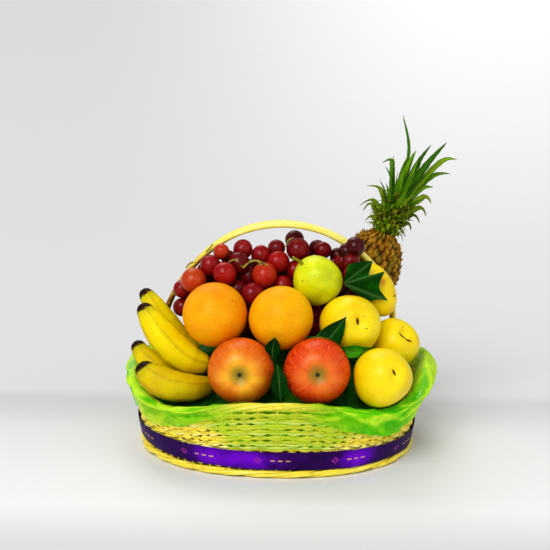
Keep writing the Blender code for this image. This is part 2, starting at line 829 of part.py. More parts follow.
def make_grapes(skin):
    pieces = []
    for i, (centre, half) in enumerate(BUNCH_CORES):
        rings = []
        for k in range(1, 6):
            a = math.pi * k / 6
            rings.append([
                place(centre)
                + place(half)
                * np.array([math.sin(a) * math.cos(s), math.sin(a) * math.sin(s), math.cos(a)])
                for s in turns(10)
            ])
        top = place(centre) + np.array([0, 0, half[2] * MM])
        foot = place(centre) - np.array([0, 0, half[2] * MM])
        pieces.append(solid(f"bunch_core_{i}", *stack(rings, top, foot), None))
    for i, (centre, radius) in enumerate(grape_spots()):
        sides, rows = (6, 3) if i < len(FRONT_GRAPES) else (5, 2)
        pieces.append(ball(f"grape_{i}", centre, radius, 0.37 * i, sides, rows))
    pieces += [twig(f"twig_{i}", a, b) for i, (a, b) in enumerate(twig_ends())]
    return joined("grape_bunch", pieces, skin, "MANIFOLD")


# What the others must keep clear of.
def solid_balls():
    """Balls that stand for the fruit, the pineapple and the handle."""
    balls = [(place(c), r * MM) for _, c, r, _, _, _ in YELLOW_PEARS]
    balls += [(place(c), r) for _, c, r, _ in ORANGES + APPLES]
    balls.append((place(PEAR_GREEN["centre"]), PEAR_GREEN["radius"] * MM * 1.03))
    axis = unit(PEAR_REAR["axis"])
    for t, reach in ((-0.45, 0.0178), (-0.15, 0.0200), (0.15, 0.0200), (0.45, 0.0172)):
        balls.append((place(PEAR_REAR["centre"]) + axis * PEAR_REAR["radius"] * MM * t, reach))
    for name in BANANAS:
        line, size = banana_line(name, 21)
        balls += list(zip(line, size))
    pine = unit(PINE_LEAN)
    for down in range(8, PINE_LENGTH - 6, 8):
        balls.append((PINE_TOP + pine * down * MM, (pine_radius(down) + EYE_RELIEF / 2) * MM))
    for point in handle_line(41):
        for off in (-0.0050, 0.0, 0.0050):
            balls.append((point + np.array([0, off, 0]), 0.0042))
    return balls


def bed_height(x, y, balls, share):
    """Top of the net filling near a spot: the lowest of the mound's heights close round it."""
    near = [(0, 0)] + [(0.010 * math.cos(a), 0.010 * math.sin(a)) for a in turns(6)]
    return min(mound_height(x + dx, y + dy, balls, share) for dx, dy in near)


def mound_height(x, y, balls, share):
    """A low mound that gives way under whatever lies on it."""
    back = min(1.0, max(0.0, (y + 0.095) / 0.07))
    back = back * back * (3 - 2 * back)
    mound = BED_RIM + (blend(BED_FRONT, BED_CROWN, back) - BED_RIM) * (1 - share**2.6)
    ripple = 0.0012 * math.sin(70 * x + 2 * y) * math.sin(60 * y + 1) * (1 - share)
    height = mound + ripple
    for centre, radius in balls:
        flat = math.hypot(x - centre[0], y - centre[1])
        reach = radius + CLEAR
        if flat < reach:
            height = min(height, centre[2] - math.sqrt(reach**2 - flat**2))
    return height


def make_bed(skin):
    balls = solid_balls()
    balls += [(c, r + 0.001) for c, r in grape_spots()]
    for centre, half in BUNCH_CORES:
        for i in np.linspace(-1, 1, 9):
            slim = math.sqrt(max(0.05, 1 - i * i))
            size = half[2] * slim * MM
            balls.append((place(centre) + np.array([half[0] * i * MM * 0.96, 0, 0]), size))
    sides = ROUND
    rings = []
    low = FLOOR_THICK + GAP
    inset = WALL_THICK + GAP + 0.0006
    rings.append([wall_at(a, low, -inset - 0.0004) for a in turns(sides)])
    for share in (1.0, 0.90, 0.79, 0.68, 0.57, 0.46, 0.35, 0.24, 0.13):
        ring = []
        for a in turns(sides):
            edge = wall_at(a, BED_RIM, -inset)
            x, y = edge[0] * share, edge[1] * share
            ring.append(np.array([x, y, bed_height(x, y, balls, share)]))
        rings.append(ring)
    top = (0, 0, bed_height(0, 0, balls, 0))
    return solid("net_bed", *stack(rings, (0, 0, low), top), skin)


def angle_between(a, b):
    return (a - b + math.pi) % (2 * math.pi) - math.pi


def near_to(angle, middle, spread):
    """1 at the middle angle, falling softly to 0 away from it. All in degrees."""
    return math.exp(-((angle_between(angle, math.radians(middle)) / math.radians(spread)) ** 2))


def skirt_drop(angle):
    """How far the net hangs down outside: only over the rim in the middle of the front."""
    drop = 0.025 + 0.003 * math.sin(4 * angle + 0.7)
    drop += 0.010 * near_to(angle, -38, 20) + 0.003 * near_to(angle, -140, 20)
    return drop - 0.012 * near_to(angle, -97, 24)


def skirt_stand(angle):
    """How far the net stands up above the rim: high at the right, a little behind."""
    return 0.019 * near_to(angle, -4, 22) + 0.006 * near_to(angle, 60, 26) + 0.005 * near_to(angle, 125, 26)


def skirt_puff(angle):
    """How far the net stands off the wall."""
    puff = 0.010 * near_to(angle, -4, 24) + 0.0020 * near_to(angle, 180, 30)
    return puff + 0.0006 * (2 + math.sin(11 * angle) + math.sin(7 * angle + 1.0))


def make_skirt(skin):
    """The net's edge, from just inside the rim, over it and down the outside."""
    balls = solid_balls()
    rings = []
    for a in turns(ROUND):
        top = wall_top(a) + 2 * RIM_ROD[1] + 0.0004
        drop, stand, puff = skirt_drop(a), skirt_stand(a), skirt_puff(a)
        wall_off = ROW_RELIEF / 2 + GAP
        rim_off = RIM_ROD[0] - WALL_THICK / 2 + GAP
        crest = top + 0.0008 + stand
        over = wall_at(a, top, -WALL_THICK / 2 + stand * 0.3)
        for centre, radius in balls:
            flat = math.hypot(over[0] - centre[0], over[1] - centre[1])
            if flat < radius + 0.004:
                under = centre[2] - math.sqrt(max(0, (radius + 0.0030) ** 2 - flat**2))
                crest = min(crest, max(top + 0.0005, under - NET_THICK))
        stations = (
            (top - drop, wall_off + puff * 0.15 + 0.0012),
            (top - 0.0030, rim_off + puff * 0.9),
            (top - 0.0005 + stand * 0.3, rim_off + puff),
        )
        outer = [wall_at(a, z, off + NET_THICK) for z, off in stations]
        inner = [wall_at(a, z, off) for z, off in reversed(stations)]
        over_out, over_in = over.copy(), over.copy()
        over_out[2] = crest + NET_THICK
        over_in[2] = crest
        rings.append(outer + [over_out, over_in] + inner)
    return solid("net_skirt", *stack(rings, loop=True), skin)


# Leaves.
def leaf_solid(name, middle, along, side, length, width, skin, cup=0.12, thick=0.0009):
    """A thin cupped leaf pointed at both ends. Both faces are cut into the same triangles."""
    along = unit(along)
    side = unit(np.asarray(side, float) - along * (along @ np.asarray(side, float)))
    normal = np.cross(along, side)
    balls = solid_balls()
    steps = 6
    grid = []
    for k in range(steps + 1):
        t = k / steps
        bow = cup * length * (math.sin(math.pi * t) - 0.5)
        spine = middle + along * ((t - 0.5) * length) + normal * bow
        reach = math.sin(math.pi * t) ** 0.8 * width / 2
        wave = 0.0006 * math.sin(9 * t)
        row = [spine]
        if 0 < k < steps:
            row.insert(0, spine + side * reach + normal * (0.16 * reach + wave))
            row.append(spine - side * reach + normal * (0.16 * reach - wave))
        grid += [moved_off(p, thick / 2, balls, 0.0011) for p in row]
    last = len(grid) - 1
    faces = [(0, 1, 2), (0, 2, 3)]
    for a in range(1, last - 3, 3):
        b = a + 3
        faces += [(a, b, b + 1), (a, b + 1, a + 1), (a + 1, b + 1, b + 2), (a + 1, b + 2, a + 2)]
    faces += [(last - 3, last, last - 2), (last - 2, last, last - 1)]
    border = [0, *range(1, last, 3), last, *range(last - 1, 0, -3)]
    return two_faced(name, grid, faces, border, normal * thick / 2, skin)


# name, middle, along, side, length, width
LEAVES = (
    ("leaf_pointed", (62.5, -95.0, 157.5), (0.59, 0.03, 0.81), (0.81, -0.25, -0.59), 43, 25),
    ("leaf_curved", (86.0, -91.0, 135.5), (0.995, 0.05, 0.04), (0.00, -0.25, 0.97), 42, 16),
    ("leaf_centre", (-5.5, -104.0, 139.0), (0.10, -0.30, 0.95), (0.98, 0.10, 0.0), 34, 17),
    ("leaf_low", (2.0, -124.0, 103.0), (0.10, -0.12, -0.99), (0.99, 0.06, 0.08), 46, 18),
)
# The lobed leaf lies like an open hand: reach and angle of each tip and of the notch after it.
LOBED_FOOT = (73.8, -29.5, 196.8)
LOBED_ACROSS = (0.98, -0.12, 0.0)
LOBED_UP = (0.0, 0.01, 1.0)
LOBES = ((22, 78), (43, 40), (29, 15), (50, 19), (41, -4), (55, -19), (42, -24), (40, -34), (22, -28))


def make_lobed_leaf(skin, thick=0.0009):
    """Five tips fanned out from the foot, each bent back a little; both faces alike."""
    foot = place(LOBED_FOOT)
    across, up = unit(LOBED_ACROSS), unit(LOBED_UP)
    normal = unit(np.cross(across, up))
    balls = solid_balls()
    grid = [foot]
    for share in (0.55, 1.0):
        for i, (reach, angle) in enumerate(LOBES):
            a = math.radians(angle)
            bend = (0.0030 if i % 2 else -0.0012) * share**2
            spot = foot + (across * math.cos(a) + up * math.sin(a)) * reach * share * MM
            grid.append(moved_off(spot + normal * bend, thick / 2, balls, 0.0011))
    count = len(LOBES)
    faces = [(0, i + 2, i + 1) for i in range(count - 1)]
    for i in range(1, count):
        faces += [(i, i + 1, i + 1 + count), (i, i + 1 + count, i + count)]
    border = [0, count, *range(2 * count, count, -1), 1]
    return two_faced("leaf_lobed", grid, faces, border, normal * thick / 2, skin)


def two_faced(name, grid, faces, border, half, skin):
    """A closed sheet: the grid moved half its thickness both ways, joined round its border."""
    n = len(grid)
    points = [p + half for p in grid] + [p - half for p in grid]
    lower = [(a + n, c + n, b + n) for a, b, c in faces]
    edge = []
    for i, a in enumerate(border):
        b = border[(i + 1) % len(border)]
        edge += [(a, a + n, b + n), (a, b + n, b)]
    return solid(name, points, faces + lower + edge, skin)


def make_leaf(row, skin):
    name, middle, along, side, length, width = row
    return leaf_solid(name, place(middle), along, side, length * MM, width * MM, skin)


# Build.
def clear_scene():
    for obj in list(bpy.data.objects):
        bpy.data.objects.remove(obj)


def build():
    clear_scene()
    cane = material("cane", "EBD54A", 0.55)
    cane_pale = material("cane_handle", "F0DE62", 0.50)
    net = material("lime_net", "7FDB2A", 0.60)
    satin = material("violet_satin", "33007A", 0.35)
    orange = material("orange_skin", "FB9D10", 0.45)
    apple = material("apple_skin", "DD4A12", 0.35)
    yellow = material("yellow_pear_skin", "FADB14", 0.45)
    green = material("green_pear_skin", "BFCB18", 0.50)
    banana = material("banana_skin", "E3C50E", 0.50)
    grape = material("grape_skin", "7A1412", 0.35)
    pine = material("pineapple_rind", "A8700F", 0.65)
    crown = material("pineapple_leaf", "3E7A10", 0.55)
    leaf = material("leaf_green", "0E4A10", 0.40)

    make_basket(cane)
    make_rim(cane)
    make_foot(cane)
    make_handle(cane_pale)
    make_ribbon(satin)
    make_bed(net)
    make_skirt(net)
    for name, centre, radius, axis in ORANGES:
        make_fruit(name, place(centre), radius, axis, orange_profile, orange)
    for name, centre, radius, axis in APPLES:
        make_fruit(name, place(centre), radius, axis, apple_profile, apple)
    for name, centre, radius, axis, lumps, phase in YELLOW_PEARS:
        make_fruit(
            name, place(centre), radius * MM, axis, pear_profile, yellow, lumps=lumps, phase=phase
        )
    rings, ends = rear_pear_rings()
    solid("pear_rear", *stack(rings, ends[0], ends[1]), yellow)
    make_green_pear(green)
    for name in BANANAS:
        make_banana(name, banana)
    make_grapes(grape)
    make_pineapple(pine)
    make_crown(crown)
    make_lobed_leaf(leaf)
    for row in LEAVES:
        make_leaf(row, leaf)


build()
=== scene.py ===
"""The look of the fruit gift basket: cane weave, lime net, satin ribbon and every fruit's own skin,
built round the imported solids. Metres, +Z up, the front faces -Y."""

import functools
import math
import random

import bpy
import numpy as np
from mathutils import Matrix


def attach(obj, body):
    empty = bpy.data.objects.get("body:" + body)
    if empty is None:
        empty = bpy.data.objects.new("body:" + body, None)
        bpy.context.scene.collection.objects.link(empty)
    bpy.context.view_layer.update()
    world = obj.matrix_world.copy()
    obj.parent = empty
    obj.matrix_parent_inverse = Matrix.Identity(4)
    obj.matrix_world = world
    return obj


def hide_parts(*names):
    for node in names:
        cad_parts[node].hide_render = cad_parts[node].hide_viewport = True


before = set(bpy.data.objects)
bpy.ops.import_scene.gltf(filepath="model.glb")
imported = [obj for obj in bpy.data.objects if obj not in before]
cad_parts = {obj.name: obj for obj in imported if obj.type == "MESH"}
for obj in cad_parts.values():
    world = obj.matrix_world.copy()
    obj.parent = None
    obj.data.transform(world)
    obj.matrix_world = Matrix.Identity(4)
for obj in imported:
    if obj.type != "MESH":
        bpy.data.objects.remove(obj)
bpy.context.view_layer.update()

FOOT_HALF = (0.1565, 0.1315)  # half width and half depth of the basket where it meets the foot
WALL_TOP_HALF = (0.1685, 0.1435)  # the same at the top of the wall
FOOT_SQUARENESS = 2.2  # 2 is a plain oval, more is a rounder-cornered box
RIM_SQUARENESS = 2.5
WALL_THICK = 0.0045
WALL_TOP = 0.0790  # wall height at the middle of the front
CORNER_DIP = 0.0165  # the rim sags this much at its two front corners, and a quarter of it behind
ROW_RELIEF = 0.0016
FLOOR_THICK = 0.0045
RIM_ROD = (0.0050, 0.0052)  # half thickness and half height of the rim braid
FOOT_ROD = (0.0046, 0.0042)
HANDLE_CENTRE = (0.0064, 0.0210, 0.0850)
HANDLE_HALF = (0.1508, 0.1713)  # arch of the rods' centre line, half width and rise
HANDLE_SHOULDER = 0.1180  # the right leg turns straight down this far out
HANDLE_EASE = 0.0126
HANDLE_ROD = 0.0027
HANDLE_RODS = 3
RIBBON_WIDTH = 0.0225
RIBBON_LIFT = 0.0213  # height of its middle at the front
RIBBON_SLOPE = 0.0060  # it is tied higher at its left end
PATTERN_REPEAT = 0.086  # the lozenge and its dashes come again after this much ribbon
BED_RIM = 0.0600  # height of the net filling by the wall
BED_CROWN = 0.1180  # height of the net filling in the middle and behind
BED_FRONT = 0.0740  # its height under the front row
CLEAR = 0.0020  # the filling gives way this much under a fruit
ORANGE_RADIUS = (0.0370, 0.0366)
APPLE_RADIUS = (0.0373, 0.0370)
GAP = 0.0005  # least air between two pieces
THREADS_TO_THE_METRE = 620.0
BUNCH_SEED = 11
MM = 0.001


def tone(hex_colour):
    """The linear RGBA of an sRGB hex colour."""
    parts = [int(hex_colour[i : i + 2], 16) / 255 for i in (0, 2, 4)]
    return [c / 12.92 if c < 0.04045 else ((c + 0.055) / 1.055) ** 2.4 for c in parts] + [1.0]


def unit(vector):
    vector = np.asarray(vector, float)
    return vector / np.linalg.norm(vector)


def axes_of(axis, near=(0.0, 0.0, 1.0)):
    """Two directions square to the axis, the first one as close as can be to `near`."""
    axis = unit(axis)
    near = np.asarray(near, float)
    if abs(axis @ near) > 0.95:
        near = np.array([0.0, 1.0, 0.0])
    first = unit(near - axis * (axis @ near))
    return first, np.cross(axis, first)


def curve_through(points, values, count):
    """A smooth line through the points, with the values in step."""
    points = np.asarray(points, float)
    values = np.asarray(values, float)
    line, along = [], []
    for u in np.linspace(0, len(points) - 1, count):
        i = min(int(u), len(points) - 2)
        f = u - i
        a, b = points[max(i - 1, 0)], points[i]
        c, d = points[i + 1], points[min(i + 2, len(points) - 1)]
        square = (2 * a - 5 * b + 4 * c - d) * f**2
        cube = (3 * b - a - 3 * c + d) * f**3
        line.append(0.5 * (2 * b + (c - a) * f + square + cube))
        along.append(np.interp(u, range(len(points)), values))
    return np.array(line), np.array(along)


def spoke(side, other, angle):
    """The direction at an angle round an axis, from two directions square to it."""
    return side * math.cos(angle) + other * math.sin(angle)


def heading(line, k):
    """Which way a line of points runs at its point k."""
    return unit(line[min(k + 1, len(line) - 1)] - line[max(k - 1, 0)])


def glow(points, spot, reach):
    """1 at the spot, falling softly to 0 round it."""
    return np.exp(-((np.linalg.norm(points - spot, axis=1) / reach) ** 2))


def oval(angle, half_width, half_depth, squareness):
    """A point of the basket's plan outline. The angle is 0 at the right, -90 degrees in front."""
    c, s = math.cos(angle), math.sin(angle)
    power = 2 / squareness
    return (
        half_width * math.copysign(abs(c) ** power, c),
        half_depth * math.copysign(abs(s) ** power, s),
    )


def blend(low, high, share):
    return low + (high - low) * share


def wall_point(angle, share, out=0.0):
    """A point of the wall's outer face, `share` of the way up and `out` metres off it."""
    half = [blend(FOOT_HALF[i], WALL_TOP_HALF[i], share) + out for i in (0, 1)]
    x, y = oval(angle, half[0], half[1], blend(FOOT_SQUARENESS, RIM_SQUARENESS, share))
    return np.array([x, y, 0.0])


def wall_top(angle):
    """Height of the top of the wall: it dips at the front corners and a little at the back."""
    depth = CORNER_DIP if math.sin(angle) < 0 else CORNER_DIP * 0.25
    return WALL_TOP - depth * math.sin(2 * angle) ** 2


def wall_at(angle, height, out=0.0):
    """A point off the wall's outer face at a height in metres."""
    point = wall_point(angle, min(max(height / WALL_TOP, 0.0), 1.15), out)
    point[2] = height
    return point


def turns(count):
    return [2 * math.pi * i / count for i in range(count)]


def outward(angle, height):
    """The level direction straight out from the wall."""
    step = 0.01
    ahead = wall_at(angle + step, height)
    back = wall_at(angle - step, height)
    along = unit(ahead - back)
    return np.array([along[1], -along[0], 0.0])


def handle_line(count):
    """The arch's centre line, from the left foot to the right one. The right leg stands straighter
    than the oval arch: past a limit it hardly goes further out."""
    line = []
    for k in range(count):
        a = math.pi * (1 - k / (count - 1))
        across = HANDLE_HALF[0] * math.cos(a)
        if across > HANDLE_SHOULDER:
            past = across - HANDLE_SHOULDER
            across = HANDLE_SHOULDER + HANDLE_EASE * math.tanh(past / HANDLE_EASE)
        rise = HANDLE_HALF[1] * math.sin(a)
        line.append(np.array(HANDLE_CENTRE) + np.array([across, 0, rise]))
    return line


def ribbon_middle(angle):
    """Height of the ribbon's middle: tied a little higher at the left than at the right."""
    behind = 0.0016 * (1 + math.sin(angle))
    return RIBBON_LIFT + behind - RIBBON_SLOPE / 2 * math.cos(angle)


def orange_profile(t):
    """How far from the axis and how far along it, for t from one end to the other."""
    a = math.pi * t
    return math.sin(a), 0.985 * math.cos(a) - 0.03 * math.exp(-((a / 0.2) ** 2))


def apple_profile(t):
    a = math.pi * t
    dimple = 0.24 * math.exp(-((a / 0.34) ** 2)) - 0.22 * math.exp(-(((math.pi - a) / 0.36) ** 2))
    return math.sin(a) * (1 - 0.03 * math.cos(a) ** 2), 0.93 * math.cos(a) - dimple


def pear_profile(t):
    a = math.pi * t
    dimple = 0.13 * math.exp(-((a / 0.26) ** 2)) - 0.06 * math.exp(-(((math.pi - a) / 0.3) ** 2))
    return math.sin(a) * (1 + 0.015 * math.cos(2 * a)), 0.985 * math.cos(a) - dimple


def green_pear_profile(t):
    a = math.pi * t
    return math.sin(a) * (0.99 - 0.07 * math.cos(a)), 1.02 * math.cos(a)


YELLOW_PEARS = (  # name, centre in mm, radius in mm, axis, lumps, their phase
    ("pear_middle", (81.9, -54.5, 154.7), 35.7, (0.28, -0.93, 0.22), 0.035, 0.4),
    ("pear_front", (116.0, -104.0, 108.2), 34.2, (0.38, -0.88, 0.26), 0.045, 2.0),
    ("pear_side", (135.2, -27.0, 126.0), 29.7, (0.45, -0.55, 0.70), 0.05, 4.1),
)
PEAR_REAR = dict(centre=(115.5, -6.0, 184.5), radius=33.0, axis=(-0.36, 0.0, 0.933), narrow=0.60)
PEAR_GREEN = dict(centre=(44.0, -23.9, 199.4), radius=29.2, axis=(-0.62, -0.30, 0.72))
ORANGES = (
    ("orange_left", (-72.2, -50.0, 163.3), ORANGE_RADIUS[0], (0.30, -0.60, 0.74)),
    ("orange_right", (2.9, -62.1, 163.6), ORANGE_RADIUS[1], (-0.50, -0.40, 0.77)),
)
APPLES = (
    ("apple_left", (-40.9, -94.0, 110.4), APPLE_RADIUS[0], (-0.03, -0.99, 0.12)),
    ("apple_right", (43.4, -102.5, 114.2), APPLE_RADIUS[1], (0.00, -0.99, 0.14)),
)


def place(values):
    """A point given in mm."""
    return np.array(values) * MM


BANANAS = {  # from stem to tip: x, y, z and radius in mm
    "banana_upper_rear": (
        (-158.7, -8.6, 181.0, 5.6),
        (-147.1, -14.4, 165.8, 12.3),
        (-133.1, -16.2, 143.6, 16.4),
        (-115.6, -18.4, 122.6, 16.4),
        (-95.3, -24.8, 110.2, 9.5),
    ),
    "banana_upper_front": (
        (-156.6, -42.0, 171.9, 6.2),
        (-146.3, -49.0, 156.8, 13.8),
        (-133.5, -53.0, 139.2, 17.9),
        (-117.5, -55.0, 122.2, 18.8),
        (-100.4, -54.0, 110.2, 17.2),
        (-82.3, -50.0, 104.5, 10.5),
    ),
    "banana_lower_rear": (
        (-165.5, -26.0, 122.4, 6.2),
        (-155.0, -35.6, 109.0, 12.2),
        (-139.0, -41.6, 96.8, 16.2),
        (-118.6, -39.6, 87.0, 15.6),
        (-97.0, -32.0, 80.0, 9.5),
    ),
    "banana_lower_front": (
        (-155.1, -78.0, 112.6, 6.6),
        (-146.9, -82.0, 103.4, 14.4),
        (-134.1, -87.0, 95.4, 17.9),
        (-116.1, -88.0, 89.2, 18.0),
        (-96.4, -80.0, 85.2, 15.8),
        (-79.2, -64.0, 83.4, 10.0),
    ),
}


def banana_line(name, count):
    stations = BANANAS[name]
    return curve_through([place(s[:3]) for s in stations], [s[3] * MM for s in stations], count)


PINE_TOP = place((126.5, 80.0, 231.8))
PINE_LEAN = (-47.2, -8.0, -123.1)  # direction from its top to its foot
PINE_LENGTH = 148
EYE_RELIEF = 3.2  # in mm
CROWN_LIFT = 1.2  # the crown starts this far above the body, in mm
PINE_PROFILE = (  # how far down from its top and its radius there, in mm
    (0, 19.0), (5, 25.5), (14, 30.5), (28, 35.0), (42, 37.6), (58, 36.6),
    (85, 34.8), (108, 32.8), (126, 28.8), (140, 20.0), (148, 9.0),
)


def pine_radius(down):
    return np.interp(down, [p[0] for p in PINE_PROFILE], [p[1] for p in PINE_PROFILE])


# Across and up of the tip, across and up of the bend, up of the foot, width, lean away, in mm.
CROWN_LEAVES = (
    (-33.6, 145.0, -8.0, 103.0, 40, 6.0, 2),
    (27.6, 134.0, 14.0, 96.0, 40, 10.0, 6),
    (12.7, 124.0, 5.0, 92.0, 42, 8.5, -5),
    (50.0, 119.5, 30.0, 106.0, 40, 8.0, -9),
    (50.0, 100.4, 27.5, 86.0, 34, 7.5, -14),
    (36.4, 77.5, 21.0, 68.0, 30, 8.0, -9),
    (-34.0, 82.0, -22.0, 86.0, 36, 8.0, -4),
    (-30.1, 80.0, -16.0, 66.0, 30, 4.0, 8),
    (-41.4, 48.9, -23.0, 51.0, 24, 6.0, -5),
    (-40.9, 24.0, -27.0, 36.0, 17, 6.5, 4),
    (-32.5, 18.0, -26.0, 30.0, 11, 6.5, -12),
    (-28.0, 9.0, -21.0, 18.0, 5, 6.5, 8),
    (41.0, 58.0, 28.0, 61.0, 26, 8.5, -4),
    (39.4, 42.0, 27.0, 48.0, 20, 7.0, 7),
    (38.0, 30.0, 25.0, 36.0, 12, 6.5, -7),
    (29.0, 19.0, 21.0, 25.0, 6, 6.5, 6),
)
# Rings of leaves: height, count, reach, rise and width, in mm.
CROWN_RINGS = ((3, 8, 25, 9, 10), (17, 7, 31, 18, 10), (33, 6, 34, 32, 9), (50, 4, 26, 44, 9))


def crown_frame():
    up = -unit(PINE_LEAN)
    across = unit(np.array([up[2], 0, -up[0]]))
    return across, up, np.cross(across, up)


FRONT_GRAPES = (  # x, y, z and radius in mm
    (-43.5, 8, 224.0, 11.5), (-47.0, -3, 211.5, 12.2), (-20.8, 14, 219.5, 11.4),
    (-3.6, 22, 226.0, 10.4), (0.6, 3, 211.5, 13.0), (22.6, 16, 223.6, 13.6),
    (20.6, 34, 231.0, 11.0), (33.0, 30, 219.5, 10.8), (43.2, 34, 221.5, 9.6),
    (55.6, 30, 221.5, 10.2), (80.0, -6, 225.0, 11.8), (70.6, -9, 214.6, 11.8),
    (82.4, -14, 206.6, 10.6), (63.0, 26, 218.5, 9.4), (-69.5, 0, 220.8, 9.4),
    (-60.0, 12, 216.5, 8.8), (-76.5, -5, 208.6, 12.2), (-64.0, -13, 198.6, 13.4),
    (-97.0, -7, 194.4, 14.8), (-111.0, 0, 180.2, 10.6), (-112.5, 3, 160.0, 10.8),
    (-13.4, -13, 198.0, 14.8), (-31.0, -25, 182.8, 13.4), (-49.0, -12, 186.2, 11.4),
    (-37.0, -2, 198.4, 11.8), (-85.0, 8, 199.5, 11.2), (7.0, -13, 192.0, 12.0),
    (24.0, 0, 205.4, 11.8), (-91.0, 7, 178.0, 12.6), (-103.0, 12, 168.0, 11.8),
    (60.0, 10, 205.0, 12.0), (41.0, 18, 207.0, 12.0), (-88.0, 10, 156.0, 12.0),
)
BUNCH_CORES = (  # centre and half size of the lumps that the rear grapes lie on, in mm
    ((-28, 33, 164), (74, 35, 46)),
    ((-26, 58, 130), (68, 34, 38)),
    ((40, 31, 174), (28, 17, 34)),
)
OUTER_GRAPES = 62  # grapes in front and over the back
INNER_GRAPES = 95  # grapes that close the heap behind the ones in front
FRONT_DEPTH = 0.03  # grapes nearer than this are seen from the front
HEAP_FOOT = 0.088  # no grape at the back hangs lower


@functools.cache
def grape_spots():
    """Centres and radii of the outer grapes: the ones in front, then a seeded cover of the back."""
    keep_off = solid_balls()
    spots = spread([(place(g[:3]), g[3] * MM) for g in FRONT_GRAPES], keep_off)
    dice = random.Random(BUNCH_SEED)
    tries = 0
    while tries < 6000 and len(spots) < OUTER_GRAPES:
        tries += 1
        centre, half = BUNCH_CORES[dice.choice((0, 0, 1, 1, 1, 2))]
        turn = dice.uniform(0, 2 * math.pi)
        rise = dice.uniform(-0.35, 1.0)
        flat = math.sqrt(1 - rise * rise)
        way = np.array([flat * math.cos(turn), flat * math.sin(turn), rise])
        radius = dice.uniform(11.0, 13.6) * MM
        spot = place(centre) + way * place(half) * 0.99
        if spot[1] < FRONT_DEPTH or spot[2] - radius < HEAP_FOOT:
            continue
        if any(np.linalg.norm(spot - c) < 0.96 * (radius + r) for c, r in spots):
            continue
        if any(np.linalg.norm(spot - c) < radius + r + 0.0010 for c, r in keep_off):
            continue
        if off_rim(spot) < radius + 0.0085:
            continue
        spots.append((spot, radius))
    return spots


def spread(spots, balls):
    """Grapes that cut each other drawn apart, mostly front to back, and off the other fruit."""
    spots = [[np.array(c), r] for c, r in spots]
    for _ in range(60):
        for i, (_, size) in enumerate(spots):
            for j in range(i + 1, len(spots)):
                b, other = spots[j]
                gap = b - spots[i][0]
                need = 0.97 * (size + other)
                far = float(np.linalg.norm(gap))
                if far < need:
                    way = unit(gap * np.array([0.35, 1.0, 0.35]) + np.array([0, 1e-5, 0]))
                    step = way * (need - far) * 0.5
                    spots[i][0] = spots[i][0] - step
                    spots[j][0] = b + step
        for spot in spots:
            spot[0] = moved_off(spot[0], spot[1], balls)
    return [(c, r) for c, r in spots]


def moved_off(spot, radius, balls, air=0.0009):
    """The spot, pushed straight away from every ball that a piece of this radius would cut."""
    centres, sizes = balls_table(balls)
    reach = sizes + radius + air
    for _ in range(30):
        start, moved = 0, False
        while True:
            away = spot - centres[start:]
            far = np.sqrt((away * away).sum(1))
            near = np.flatnonzero(far < reach[start:])
            if not len(near):
                break
            first = near[0]
            spot = spot + away[first] / far[first] * (reach[start + first] - far[first])
            start += first + 1
            moved = True
        if not moved:
            break
    return spot


TABLES = {}


def balls_table(balls):
    """The balls' centres and sizes as two arrays, made once for each list."""
    key = id(balls)
    if key not in TABLES:
        TABLES[key] = (balls, np.array([c for c, _ in balls]), np.array([r for _, r in balls]))
    return TABLES[key][1:]


def off_rim(spot):
    """How far a spot is from the line along the middle of the rim."""
    best = 1.0
    for a in turns(60):
        point = wall_at(a, wall_top(a), -WALL_THICK / 2)
        point[2] = wall_top(a) + RIM_ROD[1]
        best = min(best, float(np.linalg.norm(spot - point)))
    return best


def twig_ends():
    """A short stalk from every grape that hangs clear of the rest to the nearest held one."""
    spots = grape_spots()
    held = []
    for i, (spot, radius) in enumerate(spots):
        for centre, half in BUNCH_CORES:
            reach = (spot - place(centre)) / (place(half) + radius * 0.75)
            if float(np.linalg.norm(reach)) < 1:
                held.append(i)
                break
    ends = []
    while len(held) < len(spots):
        best = None
        for i in range(len(spots)):
            if i in held:
                continue
            for j in held:
                air = float(np.linalg.norm(spots[i][0] - spots[j][0])) - spots[i][1] - spots[j][1]
                if best is None or air < best[0]:
                    best = (air, i, j)
        air, i, j = best
        held.append(i)
        if air > -0.0020:
            ends.append((spots[i][0], spots[j][0]))
    return ends


@functools.cache
def solid_balls():
    """Balls that stand for the fruit, the pineapple and the handle."""
    balls = [(place(c), r * MM) for _, c, r, _, _, _ in YELLOW_PEARS]
    balls += [(place(c), r) for _, c, r, _ in ORANGES + APPLES]
    balls.append((place(PEAR_GREEN["centre"]), PEAR_GREEN["radius"] * MM * 1.03))
    axis = unit(PEAR_REAR["axis"])
    for t, reach in ((-0.45, 0.0178), (-0.15, 0.0200), (0.15, 0.0200), (0.45, 0.0172)):
        balls.append((place(PEAR_REAR["centre"]) + axis * PEAR_REAR["radius"] * MM * t, reach))
    for name in BANANAS:
        line, size = banana_line(name, 21)
        balls += list(zip(line, size))
    pine = unit(PINE_LEAN)
    for down in range(8, PINE_LENGTH - 6, 8):
        balls.append((PINE_TOP + pine * down * MM, (pine_radius(down) + EYE_RELIEF / 2) * MM))
    for point in handle_line(41):
        for off in (-0.0050, 0.0, 0.0050):
            balls.append((point + np.array([0, off, 0]), 0.0042))
    return balls


def bed_height(x, y, balls, share):
    """Top of the net filling near a spot: the lowest of the mound's heights close round it."""
    near = [(0, 0)] + [(0.010 * math.cos(a), 0.010 * math.sin(a)) for a in turns(6)]
    return min(mound_height(x + dx, y + dy, balls, share) for dx, dy in near)


